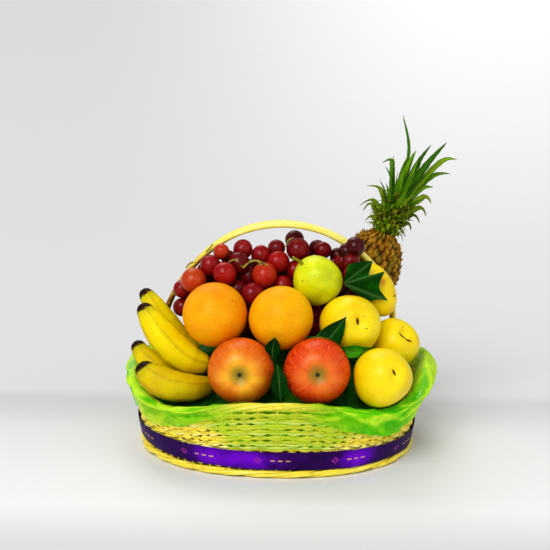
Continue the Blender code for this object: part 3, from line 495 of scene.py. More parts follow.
def mound_height(x, y, balls, share):
    """A low mound that gives way under whatever lies on it."""
    back = min(1.0, max(0.0, (y + 0.095) / 0.07))
    back = back * back * (3 - 2 * back)
    mound = BED_RIM + (blend(BED_FRONT, BED_CROWN, back) - BED_RIM) * (1 - share**2.6)
    ripple = 0.0012 * math.sin(70 * x + 2 * y) * math.sin(60 * y + 1) * (1 - share)
    height = mound + ripple
    for centre, radius in balls:
        flat = math.hypot(x - centre[0], y - centre[1])
        reach = radius + CLEAR
        if flat < reach:
            height = min(height, centre[2] - math.sqrt(reach**2 - flat**2))
    return height


def angle_between(a, b):
    return (a - b + math.pi) % (2 * math.pi) - math.pi


def near_to(angle, middle, spread):
    """1 at the middle angle, falling softly to 0 away from it. The angle is in radians, the middle
    and the spread are in degrees."""
    return math.exp(-((angle_between(angle, math.radians(middle)) / math.radians(spread)) ** 2))


def skirt_drop(angle):
    """How far the net hangs down outside: only over the rim in the middle of the front."""
    drop = 0.025 + 0.003 * math.sin(4 * angle + 0.7)
    drop += 0.010 * near_to(angle, -38, 20) + 0.003 * near_to(angle, -140, 20)
    return drop - 0.012 * near_to(angle, -97, 24)


def skirt_stand(angle):
    """How far the net stands up above the rim: high at the right, a little behind."""
    stand = 0.019 * near_to(angle, -4, 22) + 0.006 * near_to(angle, 60, 26)
    return stand + 0.005 * near_to(angle, 125, 26)


def skirt_puff(angle):
    """How far the net stands off the wall."""
    puff = 0.010 * near_to(angle, -4, 24) + 0.0020 * near_to(angle, 180, 30)
    return puff + 0.0006 * (2 + math.sin(11 * angle) + math.sin(7 * angle + 1.0))


LEAVES = (  # name, middle in mm, direction, direction of its side, length and width in mm
    ("leaf_pointed", (62.5, -95.0, 157.5), (0.59, 0.03, 0.81), (0.81, -0.25, -0.59), 43, 25),
    ("leaf_curved", (86.0, -91.0, 135.5), (0.995, 0.05, 0.04), (0.00, -0.25, 0.97), 42, 16),
    ("leaf_centre", (-5.5, -104.0, 139.0), (0.10, -0.30, 0.95), (0.98, 0.10, 0.0), 34, 17),
    ("leaf_low", (2.0, -124.0, 103.0), (0.10, -0.12, -0.99), (0.99, 0.06, 0.08), 46, 18),
)
LEAF_PAINTED_LIGHT = {  # painted light and shade at a leaf's two edges: one edge lighter than the other, and some leaves lighter than others
    "leaf_pointed": (0.35, 0.5), "leaf_curved": (1.15, 0.75), "leaf_centre": (0.3, 0.45),
    "leaf_low": (0.35, 0.45),
}
LOBED_FOOT = (73.8, -29.5, 196.8)
LOBED_ACROSS = (0.98, -0.12, 0.0)
LOBED_UP = (0.0, 0.01, 1.0)
LOBES = (  # its edge: how far from the foot in mm and at what angle in degrees
    (22, 78), (43, 40), (29, 15), (50, 19), (41, -4), (55, -19), (42, -24), (40, -34), (22, -28),
)

# The camera, as the photograph was taken.
CAMERA_AT = (-0.0045, -1.46156, 0.53643)
CAMERA_DOWN = math.radians(13.0)
CAMERA_ROLL = math.radians(0.8)
LENS_MM = 83.916
SENSOR_MM = 36.0
PICTURE = 550


def camera_axes():
    """Right, up and forward of the camera."""
    forward = np.array([0.0, math.cos(CAMERA_DOWN), -math.sin(CAMERA_DOWN)])
    level = np.array([1.0, 0.0, 0.0])
    above = np.cross(level, forward)
    right = level * math.cos(CAMERA_ROLL) + above * math.sin(CAMERA_ROLL)
    up = above * math.cos(CAMERA_ROLL) - level * math.sin(CAMERA_ROLL)
    return right, up, forward


def seen_from_front(px, py, depth):
    """The point on the plane y = depth that shows at a pixel of the picture."""
    right, up, forward = camera_axes()
    scale = LENS_MM / SENSOR_MM * PICTURE
    ray = forward + right * (px - PICTURE / 2) / scale - up * (py - PICTURE / 2) / scale
    return np.array(CAMERA_AT) + ray * (depth - CAMERA_AT[1]) / ray[1]


def on_ball(px, py, centre, radius):
    """The direction from the ball's centre to its point that shows at a pixel."""
    start = np.array(CAMERA_AT)
    ray = unit(seen_from_front(px, py, 0.0) - start)
    towards = centre - start
    along = ray @ towards
    miss = towards @ towards - along**2
    reach = along - math.sqrt(max(radius**2 - miss, 0.0))
    return unit(start + ray * reach - centre)


def pixel_of(point):
    """Where a point shows in the picture."""
    right, up, forward = camera_axes()
    scale = LENS_MM / SENSOR_MM * PICTURE
    away = np.asarray(point) - np.array(CAMERA_AT)
    deep = away @ forward
    return PICTURE / 2 + scale * (away @ right) / deep, PICTURE / 2 - scale * (away @ up) / deep


def place_camera():
    data = bpy.data.cameras.new("front_camera")
    data.lens = LENS_MM
    data.sensor_width = SENSOR_MM
    camera = bpy.data.objects.new("front_camera", data)
    right, up, forward = camera_axes()
    world = Matrix([right, up, -forward]).transposed().to_4x4()
    world.translation = CAMERA_AT
    camera.matrix_world = world
    bpy.context.scene.collection.objects.link(camera)
    bpy.context.scene.camera = camera


# Making pieces.
def piece(name, points, faces, skin, slot, replaces=(), smooth=True, **values):
    """A mesh that rides on the basket. Each extra value is kept at its points for the skin."""
    mesh = bpy.data.meshes.new(name)
    mesh.from_pydata(np.asarray(points, float).tolist(), [], [tuple(f) for f in faces])
    mesh.update()
    mesh.polygons.foreach_set("use_smooth", [smooth] * len(mesh.polygons))
    for key, column in values.items():
        column = np.asarray(column, np.float32)
        kind, field = ("FLOAT", "value") if column.ndim == 1 else ("FLOAT_VECTOR", "vector")
        mesh.attributes.new(key, kind, "POINT").data.foreach_set(field, column.ravel())
    mesh.materials.append(skin)
    obj = bpy.data.objects.new(name, mesh)
    bpy.context.scene.collection.objects.link(obj)
    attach(obj, "root")
    if replaces:
        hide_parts(*replaces)
    return obj


def grid(rows, columns, round_columns=True, round_rows=False, start=0):
    """The quads of a grid of points counted row by row."""
    i = np.arange(rows if round_rows else rows - 1)[:, None]
    j = np.arange(columns if round_columns else columns - 1)[None, :]
    right = (j + 1) % columns
    above = (i + 1) % rows
    quads = np.stack(
        [i * columns + j, i * columns + right, above * columns + right, above * columns + j], -1
    )
    return (quads.reshape(-1, 4) + start).tolist()


def capped(rows, columns):
    """A closed round grid: the two end points come after the rows."""
    faces = grid(rows, columns)
    first, last = rows * columns, rows * columns + 1
    base = (rows - 1) * columns
    for j in range(columns):
        n = (j + 1) % columns
        faces.append((first, n, j))
        faces.append((last, base + j, base + n))
    return faces


class Batch:
    """Several shapes gathered into one mesh, with their values in step."""

    def __init__(self):
        self.points, self.faces, self.values = [], [], {}
        self.count = 0

    def add(self, points, faces, **values):
        points = np.asarray(points, float).reshape(-1, 3)
        self.faces += [tuple(i + self.count for i in f) for f in faces]
        self.points.append(points)
        self.count += len(points)
        for key, value in values.items():
            column = np.broadcast_to(np.asarray(value, float), (len(points),) + np.shape(value)[1:])
            self.values.setdefault(key, []).append(column)

    def piece(self, name, skin, slot, **more):
        values = {key: np.concatenate(columns) for key, columns in self.values.items()}
        return piece(name, np.concatenate(self.points), self.faces, skin, slot, **more, **values)


def rod(line, radius, sides=6, closed=False, flat=1.0, outs=None):
    """The points of a rod along a line, `flat` times as thick across as it is high."""
    line = np.asarray(line, float)
    count = len(line)
    radius = np.broadcast_to(radius, (count,))
    if closed:
        along = np.roll(line, -1, 0) - np.roll(line, 1, 0)
    else:
        along = np.gradient(line, axis=0)
    along /= np.linalg.norm(along, axis=1)[:, None]
    if outs is None:
        first, _ = axes_of(along[0])
        outs = []
        for way in along:
            first = unit(first - way * (first @ way))
            outs.append(first)
    outs = np.asarray(outs, float)
    outs = outs - along * np.einsum("ij,ij->i", outs, along)[:, None]
    outs /= np.linalg.norm(outs, axis=1)[:, None]
    ups = np.cross(along, outs)
    s = np.array(turns(sides))
    out, up = (np.cos(s) * flat)[None, :, None], np.sin(s)[None, :, None]
    ring = outs[:, None] * out + ups[:, None] * up
    return (line[:, None] + ring * radius[:, None, None]).reshape(-1, 3)


def add_rod(batch, line, radius, sides=6, closed=False, flat=1.0, outs=None, **values):
    points = rod(line, radius, sides, closed, flat, outs)
    rows = len(line)
    faces = grid(rows, sides, True, closed)
    if not closed:
        faces.append(tuple(reversed(range(sides))))
        faces.append(tuple(range((rows - 1) * sides, rows * sides)))
    batch.add(points, faces, **values)


# Skins. Every helper adds its node to `tree` and gives back the socket that holds the result.
def new_skin(name, **even_values):
    """A material with its shader's even values set, ready for more nodes."""
    made = bpy.data.materials.new(name)
    made.use_nodes = True
    shader = made.node_tree.nodes["Principled BSDF"]
    for key, value in even_values.items():
        shader.inputs[key.replace("_", " ")].default_value = value
    return made, made.node_tree


def add(tree, kind, settings=None, links=None):
    """Adds a node. Settings are its properties and a ramp's stops; links are its inputs by name or
    number, each a value or the socket that feeds it."""
    node = tree.nodes.new("ShaderNode" + kind)
    for key, value in (settings or {}).items():
        if key == "stops":
            elements = node.color_ramp.elements
            while len(elements) < len(value):
                elements.new(1.0)
            for element, (at, colour) in zip(elements, value):
                element.position = at
                element.color = tone(colour) if isinstance(colour, str) else (colour,) * 3 + (1,)
        else:
            setattr(node, key, value)
    for key, value in (links or {}).items():
        if isinstance(value, bpy.types.NodeSocket):
            tree.links.new(value, node.inputs[key])
        else:
            node.inputs[key].default_value = tone(value) if isinstance(value, str) else value
    return node


def kept(tree, name, vector=False):
    """A value kept at the piece's points."""
    node = add(tree, "Attribute", {"attribute_name": name})
    return node.outputs["Vector" if vector else "Fac"]


def split(tree, vector):
    """The three numbers of a vector."""
    return add(tree, "SeparateXYZ", None, {0: vector}).outputs[:3]


def where(tree):
    return add(tree, "TexCoord").outputs["Object"]


def noise(tree, size, detail=3.0, rough=0.5, spot=None):
    """Soft cloudy noise whose lumps are about `size` metres across."""
    links = {"Vector": spot or where(tree), "Scale": 1 / size, "Detail": detail, "Roughness": rough}
    return add(tree, "TexNoise", None, links).outputs[0]


def cells(tree, scale, spot=None, feature="F1"):
    """How far it is to the nearest of many scattered points, `scale` of them to the metre."""
    links = {"Vector": spot or where(tree), "Scale": scale}
    return add(tree, "TexVoronoi", {"feature": feature}, links).outputs[0]


def mixed(tree, share, first, second):
    links = {0: share, 6: first, 7: second}
    return add(tree, "Mix", {"data_type": "RGBA"}, links).outputs[2]


def ramp(tree, value, *stops):
    return add(tree, "ValToRGB", {"stops": stops}, {0: value}).outputs[0]


def eased(tree, value, low, high, how="SMOOTHSTEP"):
    """0 up to `low`, 1 from `high` on, and a soft step between them."""
    links = {0: value, 1: low, 2: high}
    return add(tree, "MapRange", {"interpolation_type": how}, links).outputs[0]


def sums(tree, how, first, second=0.0, third=None):
    links = {0: first, 1: second}
    if third is not None:
        links[2] = third
    return add(tree, "Math", {"operation": how}, links).outputs[0]


def scaled(tree, value, by, plus=None):
    """The value times `by`, and `plus` where it is given."""
    return sums(tree, "MULTIPLY" if plus is None else "MULTIPLY_ADD", value, by, plus)


def swayed(tree, value, cloud, by):
    """The value moved up and down by a noise, which is a half where it changes nothing."""
    return scaled(tree, sums(tree, "SUBTRACT", cloud, 0.5), by, value)


def feed(tree, name, result):
    tree.links.new(result, tree.nodes["Principled BSDF"].inputs[name])


def relief(tree, height, depth, strength, under=None):
    """Relief from a height value, `depth` metres from 0 to 1, over another relief if given."""
    links = {"Height": height, "Distance": depth, "Strength": strength}
    if under is not None:
        links["Normal"] = under
    return add(tree, "Bump", None, links).outputs[0]


def finished(made, colour, *bump):
    """The material with its colour and its relief joined to the shader."""
    feed(made.node_tree, "Base Color", colour)
    if bump:
        feed(made.node_tree, "Normal", relief(made.node_tree, *bump))
    return made


def cane_skin(name, dark, middle, light, gloss):
    """Split cane, peeled, dyed yellow and lacquered: long fine fibres give streaks along the rod,
    darker where the peel was left, and the lacquer an even low shine."""
    made, tree = new_skin(name, Roughness=gloss, Coat_Weight=0.15, Coat_Roughness=0.25)
    fibre = noise(tree, 0.004, 4.0, 0.6)
    value = scaled(tree, fibre, 0.7, scaled(tree, kept(tree, "tint"), 0.45))
    # the brown at the ramp's low end is reached only by the handle's left leg: painted shade
    colour = ramp(
        tree, value, (0.02, "84520E"), (0.20, dark), (0.42, middle), (0.62, middle), (0.80, light)
    )
    return finished(made, colour, noise(tree, 0.0012, 2.0), 0.00025, 0.5)


def net_skin(name, light, middle, deep, clear, folds=0.35):
    """Stiff nylon net dyed lime: a single layer is half clear and pale, and folds lie denser, with
    a painted sheen that makes them paler. Its threads are drawn at 1.6 mm, coarser than the real
    0.8 mm, so that they show."""
    made, tree = new_skin(name, Roughness=0.55, Specular_IOR_Level=0.08)
    soft = noise(tree, 1.0, 3.0, 0.55, kept(tree, "cloth", True))
    # painted light and shade: the crease value with a soft noise turns the net paler on its folds
    # and where a piece sets it lighter, and deeper green where it sets it darker
    fold = scaled(tree, kept(tree, "crease"), 0.34, sums(tree, "SUBTRACT", soft, 0.08))
    colour = mixed(tree, eased(tree, fold, 0.28, 0.50, "SMOOTHERSTEP"), deep, middle)
    colour = mixed(tree, eased(tree, fold, 0.46, 0.72, "SMOOTHERSTEP"), colour, light)
    mesh = cells(tree, THREADS_TO_THE_METRE, feature="DISTANCE_TO_EDGE")
    threads = ramp(tree, mesh, (0.02, 1.0), (0.16, 0.0))
    cover = scaled(tree, fold, folds, scaled(tree, threads, 0.2, clear))
    cover = scaled(tree, cover, kept(tree, "dense"))
    feed(tree, "Alpha", sums(tree, "MINIMUM", cover, 1.0))
    return finished(made, colour, fold, 0.003, 0.6)


def satin_skin():
    """Violet polyester satin with a painted sheen: its colour is made lighter in soft streaks along
    the floats where the ribbon is set to catch the light, most across the band's middle, with a
    small foil pattern of lozenges and dashes."""
    made, tree = new_skin(
        "violet_satin_painted_sheen", Roughness=0.42, Anisotropic=0.5, Specular_IOR_Level=0.12
    )
    run, rise, painted_sheen = split(tree, kept(tree, "ribbon", True))
    floats = add(tree, "CombineXYZ", None, {0: scaled(tree, run, 7.0), 1: rise}).outputs[0]
    # painted sheen: the set lightness, broken into streaks along the floats, lifts the violet
    # towards its lightest
    lift = swayed(tree, painted_sheen, noise(tree, 1.0, 3.0, 0.5, floats), 0.55)
    colour = ramp(tree, lift, (0.0, "22003C"), (0.30, "380064"), (0.62, "6200B4"), (1.0, "8400DE"))
    # The pattern: in each repeat a hollow lozenge about a quarter of the way along, then dashes
    cell = sums(tree, "FRACT", run)
    off_middle = sums(tree, "ABSOLUTE", rise)
    across = sums(tree, "ABSOLUTE", sums(tree, "SUBTRACT", cell, 0.24))
    reach = scaled(tree, across, 18.0, scaled(tree, off_middle, 2.6))
    lozenge = scaled(
        tree, sums(tree, "LESS_THAN", reach, 1.0), sums(tree, "GREATER_THAN", reach, 0.42)
    )
    in_row = scaled(
        tree, sums(tree, "GREATER_THAN", cell, 0.36), sums(tree, "LESS_THAN", cell, 0.66)
    )
    dash = sums(tree, "LESS_THAN", sums(tree, "FRACT", scaled(tree, cell, 10.0)), 0.60)
    thin = sums(tree, "LESS_THAN", off_middle, 0.075)
    dashes = scaled(tree, scaled(tree, in_row, dash), thin)
    worn = ramp(tree, noise(tree, 0.012, 2.0), (0.30, 0.55), (0.60, 1.0))
    colour = mixed(tree, scaled(tree, lozenge, 0.75), colour, "A0309A")
    colour = mixed(tree, scaled(tree, dashes, worn), colour, "E0A860")
    return finished(made, colour, noise(tree, 0.006, 2.0), 0.0006, 0.4)


def orange_skin(name, deep, middle, light):
    """Waxed peel: oil glands a millimetre and a half apart, drawn a little coarse, pit the skin,
    and it goes in soft clouds from a yellower to a deeper orange."""
    made, tree = new_skin(
        name, Specular_IOR_Level=0.12, Roughness=0.46, Coat_Weight=0.05, Coat_Roughness=0.3,
        Subsurface_Weight=0.10, Subsurface_Scale=0.003, Subsurface_Radius=(1.0, 0.45, 0.12),
    )
    colour = ramp(tree, noise(tree, 0.030, 2.0), (0.30, deep), (0.50, middle), (0.70, light))
    pit = ramp(tree, cells(tree, 560.0), (0.10, 0.0), (0.45, 1.0))
    colour = mixed(tree, scaled(tree, pit, -0.22, 0.22), colour, "D86A04")
    scar = ramp(tree, kept(tree, "mark"), (0.35, 0.0), (0.75, 1.0))
    colour = mixed(tree, scar, colour, "7A6A1C")
    pitted = relief(tree, pit, 0.0006, 0.55)
    return finished(made, colour, noise(tree, 0.012, 2.0), 0.0015, 0.25, pitted)


def apple_skin(name, blush, deep, ground):
    """Waxed red-orange skin: fine streaks run from the eye to the stem over a yellow ground that
    shows round the eye, with pale pores; the wax gives it a clear shine."""
    made, tree = new_skin(
        name, Roughness=0.38, Specular_IOR_Level=0.3, Coat_Weight=0.12, Coat_Roughness=0.2,
        Subsurface_Weight=0.06, Subsurface_Scale=0.003,
    )
    turned = kept(tree, "turned", True)
    along = kept(tree, "along")
    streak = noise(tree, 0.055, 5.0, 0.62, turned)
    red = ramp(tree, streak, (0.30, deep), (0.50, blush), (0.70, "F07420"), (0.82, "F8A830"))
    edge = swayed(tree, along, noise(tree, 0.9, 2.0, 0.5, turned), 0.55)
    edge = swayed(tree, edge, streak, 0.10)
    cover = ramp(tree, edge, (0.10, 0.0), (0.18, 0.35), (0.30, 0.85), (0.44, 1.0))
    colour = mixed(tree, cover, ground, red)
    green = ramp(tree, along, (0.026, 1.0), (0.075, 0.55), (0.13, 0.0))
    colour = mixed(tree, green, colour, "8A7A14")
    dark = ramp(tree, along, (0.012, 1.0), (0.030, 0.0))
    colour = mixed(tree, dark, colour, "2C2008")
    pore = ramp(tree, cells(tree, 210.0), (0.05, 1.0), (0.12, 0.0))
    colour = mixed(tree, scaled(tree, pore, 0.35), colour, "F2C070")
    return finished(made, colour, noise(tree, 0.010, 2.0), 0.0010, 0.2)


def pear_skin(name, deep, middle, light, speck, green="C9CC20", specks=0.55, spacing=0.0067):
    """Smooth thin skin, yellow all over with a greener cheek, freckled with brown specks a half
    to one millimetre wide; the eye is a dry brown slit."""
    made, tree = new_skin(
        name, Roughness=0.42, Specular_IOR_Level=0.3, Coat_Weight=0.08, Coat_Roughness=0.25,
        Subsurface_Weight=0.12, Subsurface_Scale=0.004, Subsurface_Radius=(1.0, 0.7, 0.15),
    )
    colour = ramp(tree, noise(tree, 0.028, 3.0), (0.28, deep), (0.48, middle), (0.72, light))
    colour = mixed(tree, ramp(tree, kept(tree, "cheek"), (0.25, 0.0), (0.95, 1.0)), colour, green)
    thin_out = sums(tree, "GREATER_THAN", noise(tree, 0.009, 1.0), 0.50)
    dot = ramp(tree, cells(tree, 1 / spacing), (0.06, 1.0), (0.15, 0.0))
    dot = scaled(tree, dot, thin_out)
    colour = mixed(tree, scaled(tree, dot, specks), colour, speck)
    # amber patches: darker orange, partly the pears' own amber blush, partly painted shade, such as
    # the handle's shadow on the rear pear
    amber = ramp(tree, kept(tree, "amber"), (0.15, 0.0), (0.9, 0.9))
    colour = mixed(tree, amber, colour, "D98A14")
    slit = ramp(tree, kept(tree, "mark"), (0.30, 0.0), (0.62, 1.0))
    colour = mixed(tree, slit, colour, "5A3208")
    return finished(made, colour, noise(tree, 0.006, 3.0), 0.0010, 0.25)


def banana_skin():
    """Ripe yellow peel with rubbed brown ridges, dark dry tips, dull olive shading between the
    ridges and short brown flecks along the fruit, and a painted ochre shade on its underside."""
    made, tree = new_skin(
        "banana_peel", Specular_IOR_Level=0.12, Roughness=0.46, Subsurface_Weight=0.08,
        Subsurface_Scale=0.003, Subsurface_Radius=(1.0, 0.8, 0.1),
    )
    along, ridge, shade = split(tree, kept(tree, "run", True))
    lane = kept(tree, "lane", True)
    cloud = noise(tree, 0.024, 3.0, 0.5)
    colour = ramp(
        tree, cloud, (0.26, "E0BE06"), (0.42, "F4DA04"), (0.60, "FAE806"), (0.80, "FDF014")
    )
    olive = ramp(tree, noise(tree, 0.10, 4.0, 0.6, lane), (0.34, 1.0), (0.52, 0.0))
    colour = mixed(tree, scaled(tree, olive, 0.10), colour, "8F8A14")
    patches = noise(tree, 0.012, 3.0)
    rubbed = scaled(tree, ridge, ramp(tree, patches, (0.35, 0.2), (0.6, 1.0)))
    colour = mixed(tree, scaled(tree, rubbed, 0.5), colour, "8A620C")
    rare = sums(tree, "GREATER_THAN", noise(tree, 0.010, 1.0), 0.55)
    fleck = ramp(tree, cells(tree, 26.0, lane), (0.07, 1.0), (0.16, 0.0))
    fleck = scaled(tree, fleck, rare)
    colour = mixed(tree, scaled(tree, fleck, 0.7), colour, "5A3A0A")
    # painted shade: ochre on the underside, and over the two lower fruits, broken up by patches
    shade_and_darkening = scaled(tree, swayed(tree, shade, patches, 0.8), 0.65)
    colour = mixed(tree, shade_and_darkening, colour, "A87E10")
    ragged = swayed(tree, along, noise(tree, 0.004, 2.0), 0.04)
    colour = mixed(tree, ramp(tree, ragged, (0.055, 0.55), (0.13, 0.0)), colour, "A8A414")
    tip = ramp(tree, ragged, (0.036, 1.0), (0.050, 0.85), (0.060, 0.0))
    colour = mixed(tree, tip, colour, "2C1608")
    return finished(made, colour, noise(tree, 0.009, 3.0), 0.0012, 0.3)


def grape_skin():
    """Red table grapes: a glossy dark skin with a paler dusty bloom in clouds, some berries less
    ripe and orange-brown."""
    made, tree = new_skin(
        "grape_skin_red", Roughness=0.3, Coat_Weight=0.25, Coat_Roughness=0.10,
        Specular_IOR_Level=0.15, Subsurface_Weight=0.10, Subsurface_Scale=0.004,
        Subsurface_Radius=(1.0, 0.2, 0.1),
    )
    value = swayed(tree, kept(tree, "tint"), noise(tree, 0.016, 3.0), 0.35)
    colour = ramp(
        tree, value, (0.0, "22020A"), (0.28, "560408"), (0.50, "8A0A10"), (0.70, "B01A12"),
        (0.86, "BC3C12"), (1.0, "C85E1C"),
    )
    dust = noise(tree, 0.008, 4.0, 0.6)
    colour = mixed(tree, ramp(tree, dust, (0.52, 0.0), (0.78, 0.12)), colour, "A8849A")
    scar = ramp(tree, kept(tree, "mark"), (0.5, 0.0), (0.8, 1.0))
    feed(tree, "Roughness", ramp(tree, dust, (0.45, 0.24), (0.75, 0.45)))
    return finished(made, mixed(tree, scar, colour, "6A5A2A"))


def twig_skin():
    """Green-brown stalk, dry and dull, in soft patches of paler and darker green-brown."""
    made, tree = new_skin("grape_stalk", Roughness=0.6)
    colour = ramp(tree, noise(tree, 0.006, 3.0), (0.35, "6A5A14"), (0.65, "A8A83A"))
    return finished(made, colour, noise(tree, 0.002, 2.0), 0.0004, 0.5)


def rind_skin():
    """Pineapple rind: golden eyes ringed with dark brown seams and greener patches, dry and rough,
    each eye with its own shade and a pale papery point."""
    made, tree = new_skin("pineapple_rind_eyes", Roughness=0.6, Specular_IOR_Level=0.12)
    rise, shade, paper = split(tree, kept(tree, "eye", True))
    grain = noise(tree, 0.0022, 4.0, 0.65)
    value = swayed(tree, scaled(tree, rise, 0.75), grain, 0.85)
    value = swayed(tree, value, noise(tree, 0.010, 3.0, 0.6), 0.6)
    colour = ramp(
        tree, value, (0.02, "2A1603"), (0.24, "5A3605"), (0.46, "855A08"), (0.68, "AE7C10"),
        (0.92, "E2B850"),
    )
    green = scaled(tree, ramp(tree, shade, (0.62, 0.0), (0.95, 0.65)), 0.8)
    colour = mixed(tree, green, colour, "6E7420")
    colour = mixed(tree, ramp(tree, shade, (0.0, 0.45), (0.30, 0.0)), colour, "7A4208")
    colour = mixed(tree, scaled(tree, paper, 0.8), colour, "D8B46A")
    return finished(made, colour, grain, 0.0012, 0.7)


def crown_skin():
    """Tough strap leaves: green with fine lengthwise lines, paler along the edges and turning
    straw-yellow and brown at the tips, most of all on the short lower ones."""
    made, tree = new_skin("pineapple_crown_leaf", Roughness=0.55, Specular_IOR_Level=0.15)
    along, across, shade = split(tree, kept(tree, "leaf", True))
    lines = noise(tree, 0.05, 3.0, 0.6, kept(tree, "lane", True))
    value = scaled(tree, lines, 0.55, scaled(tree, shade, 0.45))
    colour = ramp(
        tree, value, (0.22, "1C3602"), (0.42, "3C7404"), (0.60, "6CA008"), (0.80, "A8C426")
    )
    edge = ramp(tree, sums(tree, "ABSOLUTE", across), (0.78, 0.0), (0.98, 0.45))
    colour = mixed(tree, edge, colour, "9AA850")
    dry = kept(tree, "dry")
    colour = mixed(tree, ramp(tree, dry, (0.30, 0.0), (0.95, 0.75)), colour, "A09418")
    brown = swayed(tree, scaled(tree, dry, 0.55, along), lines, 0.25)
    brown = ramp(tree, brown, (1.0, 0.0), (1.2, 0.55), (1.42, 0.9))
    return finished(made, mixed(tree, brown, colour, "6E4A10"), lines, 0.0006, 0.5)


def leaf_skin():
    """Thick glossy leaf, very dark green, with a paler midrib and fine side veins pressed in."""
    made, tree = new_skin("dark_leaf", Roughness=0.5, Specular_IOR_Level=0.06)
    vein, rib, shade = split(tree, kept(tree, "leaf", True))
    # the third value is painted light and shade on the plain leaves, lighter at one edge than the
    # other; on the lobed leaf it grows lighter toward the lobes' tips
    value = swayed(tree, shade, noise(tree, 0.012, 3.0), 0.5)
    colour = ramp(
        tree, value, (0.1, "042203"), (0.45, "0A3E04"), (0.75, "147008"), (1.0, "4AA61A")
    )
    colour = mixed(tree, scaled(tree, vein, 0.25), colour, "2A6A28")
    colour = mixed(tree, scaled(tree, rib, 0.55), colour, "5C8A44")
    return finished(made, colour, sums(tree, "ADD", vein, rib), -0.0006, 0.6)


# The basket.
WEAVERS = 20
STAKES = 84
CANE = 0.00186  # half height of a weaver
STAKE = 0.0013  # radius of a stake
FIRST_WEAVER = 0.0105  # height where the weavers start


def make_weave(skin):
    """Stakes stand round the wall and pairs of weavers pass in front of one and behind the next,
    each pair the other way round from the pair under it. The rows follow the dip of the rim, and
    the two weavers of a pair part more in some places than in others."""
    dice = random.Random(3)
    batch = Batch()
    for row in range(WEAVERS):
        phase = math.pi * (row // 2 % 2)
        shift, swing = dice.uniform(0, 6.28), dice.uniform(0, 6.28)
        line, outs, sizes = [], [], []
        width = CANE * dice.uniform(0.94, 1.04)
        together = 1 if row % 2 == 0 else -1
        for a in turns(STAKES * 6):
            wave = math.cos(STAKES / 2 * a + phase)
            turn = (1 - wave * wave) ** 2
            loose = math.sin(a * 9 + row * 2.1) * math.sin(a * 23 + row * 1.3)
            open_here = min(max(0.85 + 0.85 * loose, 0.15), 1.45)
            sizes.append(width * (1.08 - 0.42 * turn * open_here))
            wobble = 0.00030 * math.sin(11 * a + shift) + 0.00022 * math.sin(29 * a + swing)
            height = blend(FIRST_WEAVER, wall_top(a) - 0.0008, (row + 0.5) / WEAVERS) + wobble
            height += together * 0.00088 * turn * open_here
            line.append(wall_at(a, height, -0.0019 + 0.00145 * wave))
            outs.append(outward(a, height))
        add_rod(batch, line, sizes, 6, True, 0.62, outs, tint=[dice.random()])
    for a in turns(STAKES):
        line = [wall_at(a, z, -0.0020) for z in np.linspace(0.002, wall_top(a) + 0.002, 10)]
        add_rod(batch, line, STAKE, 6, tint=[0.35])
    steps = 72
    edge = np.array([wall_at(a, 0.0022, -0.0070) for a in turns(steps)]) * np.array([1, 1, 0])
    for height in (0.0, FLOOR_THICK - 0.0005):
        rim = edge + np.array([0, 0, height])
        rings = [rim * np.array([s, s, 1]) for s in (1.0, 0.75, 0.5, 0.25)]
        points = np.concatenate(rings + [np.array([[0, 0, height]])])
        inner, middle = steps * 3, steps * 4
        fan = [(inner + i, inner + (i + 1) % steps, middle) for i in range(steps)]
        batch.add(points, grid(4, steps) + fan, tint=[0.4])
    batch.piece("basket_weave", skin, "cane", replaces=("basket_body",))


def make_braid(name, node, skin, centre, radius, spread, count, twist, seed):
    """Several canes laid together and turned slowly round each other all the way round. `spread`
    is how far they stand off the middle, outwards and upwards."""
    dice = random.Random(seed)
    batch = Batch()
    for k in range(count):
        start = 2 * math.pi * k / count
        shift = dice.uniform(0, 6.28)
        line, outs = [], []
        for a in turns(300):
            point = centre(a)
            out = outward(a, point[2])
            s = start + twist * a + 0.5 * math.sin(3 * a + shift)
            up = np.array([0, 0, spread[1] * math.sin(s)])
            line.append(point + out * spread[0] * math.cos(s) + up)
            outs.append(out)
        size = radius * dice.uniform(0.92, 1.05)
        add_rod(batch, line, size, 8, True, 1.0, outs, tint=[dice.random()])
    batch.piece(name, skin, "cane", replaces=(node,))


def rim_centre(a):
    top = wall_top(a)
    point = wall_at(a, top, -WALL_THICK / 2)
    point[2] = top + RIM_ROD[1] + 0.0004
    return point


def foot_centre(a):
    point = wall_at(a, FOOT_ROD[1], 0.0006)
    point[2] = FOOT_ROD[1] + 0.0002
    return point


def make_arch(skin):
    """Canes side by side bent into one arch; they part a little on the right shoulder, and the
    left leg is painted a darker brown, a painted shade."""
    dice = random.Random(5)
    batch = Batch()
    count, sides = 150, 10
    line = handle_line(count)
    pitch = 2 * HANDLE_ROD * 0.94
    reach = np.repeat(np.linspace(0, 1, count), sides)
    for k in range(HANDLE_RODS):
        path = []
        for i, point in enumerate(line):
            along = heading(line, i)
            up = np.array([-along[2], 0, along[0]])
            share = i / (count - 1)
            parted = math.exp(-(((share - 0.66) / 0.05) ** 2))
            lift = 0.0012 * math.sin(share * 9 + k * 2.1)
            lift += (k - 1) * 0.0014 * parted
            path.append(point + up * lift + np.array([0, (k - 1) * pitch, 0]))
        shade = (0.7, 0.95, 0.5)[k] + dice.uniform(-0.1, 0.1)
        # painted shade: the left leg's colour is pushed down to brown
        painted_shade_tint = shade - 2.2 * np.clip(1 - reach / 0.34, 0, 1) ** 0.8
        add_rod(batch, path, HANDLE_ROD, sides, tint=painted_shade_tint)
    batch.piece("handle_canes", skin, "cane_handle", replaces=("handle",))


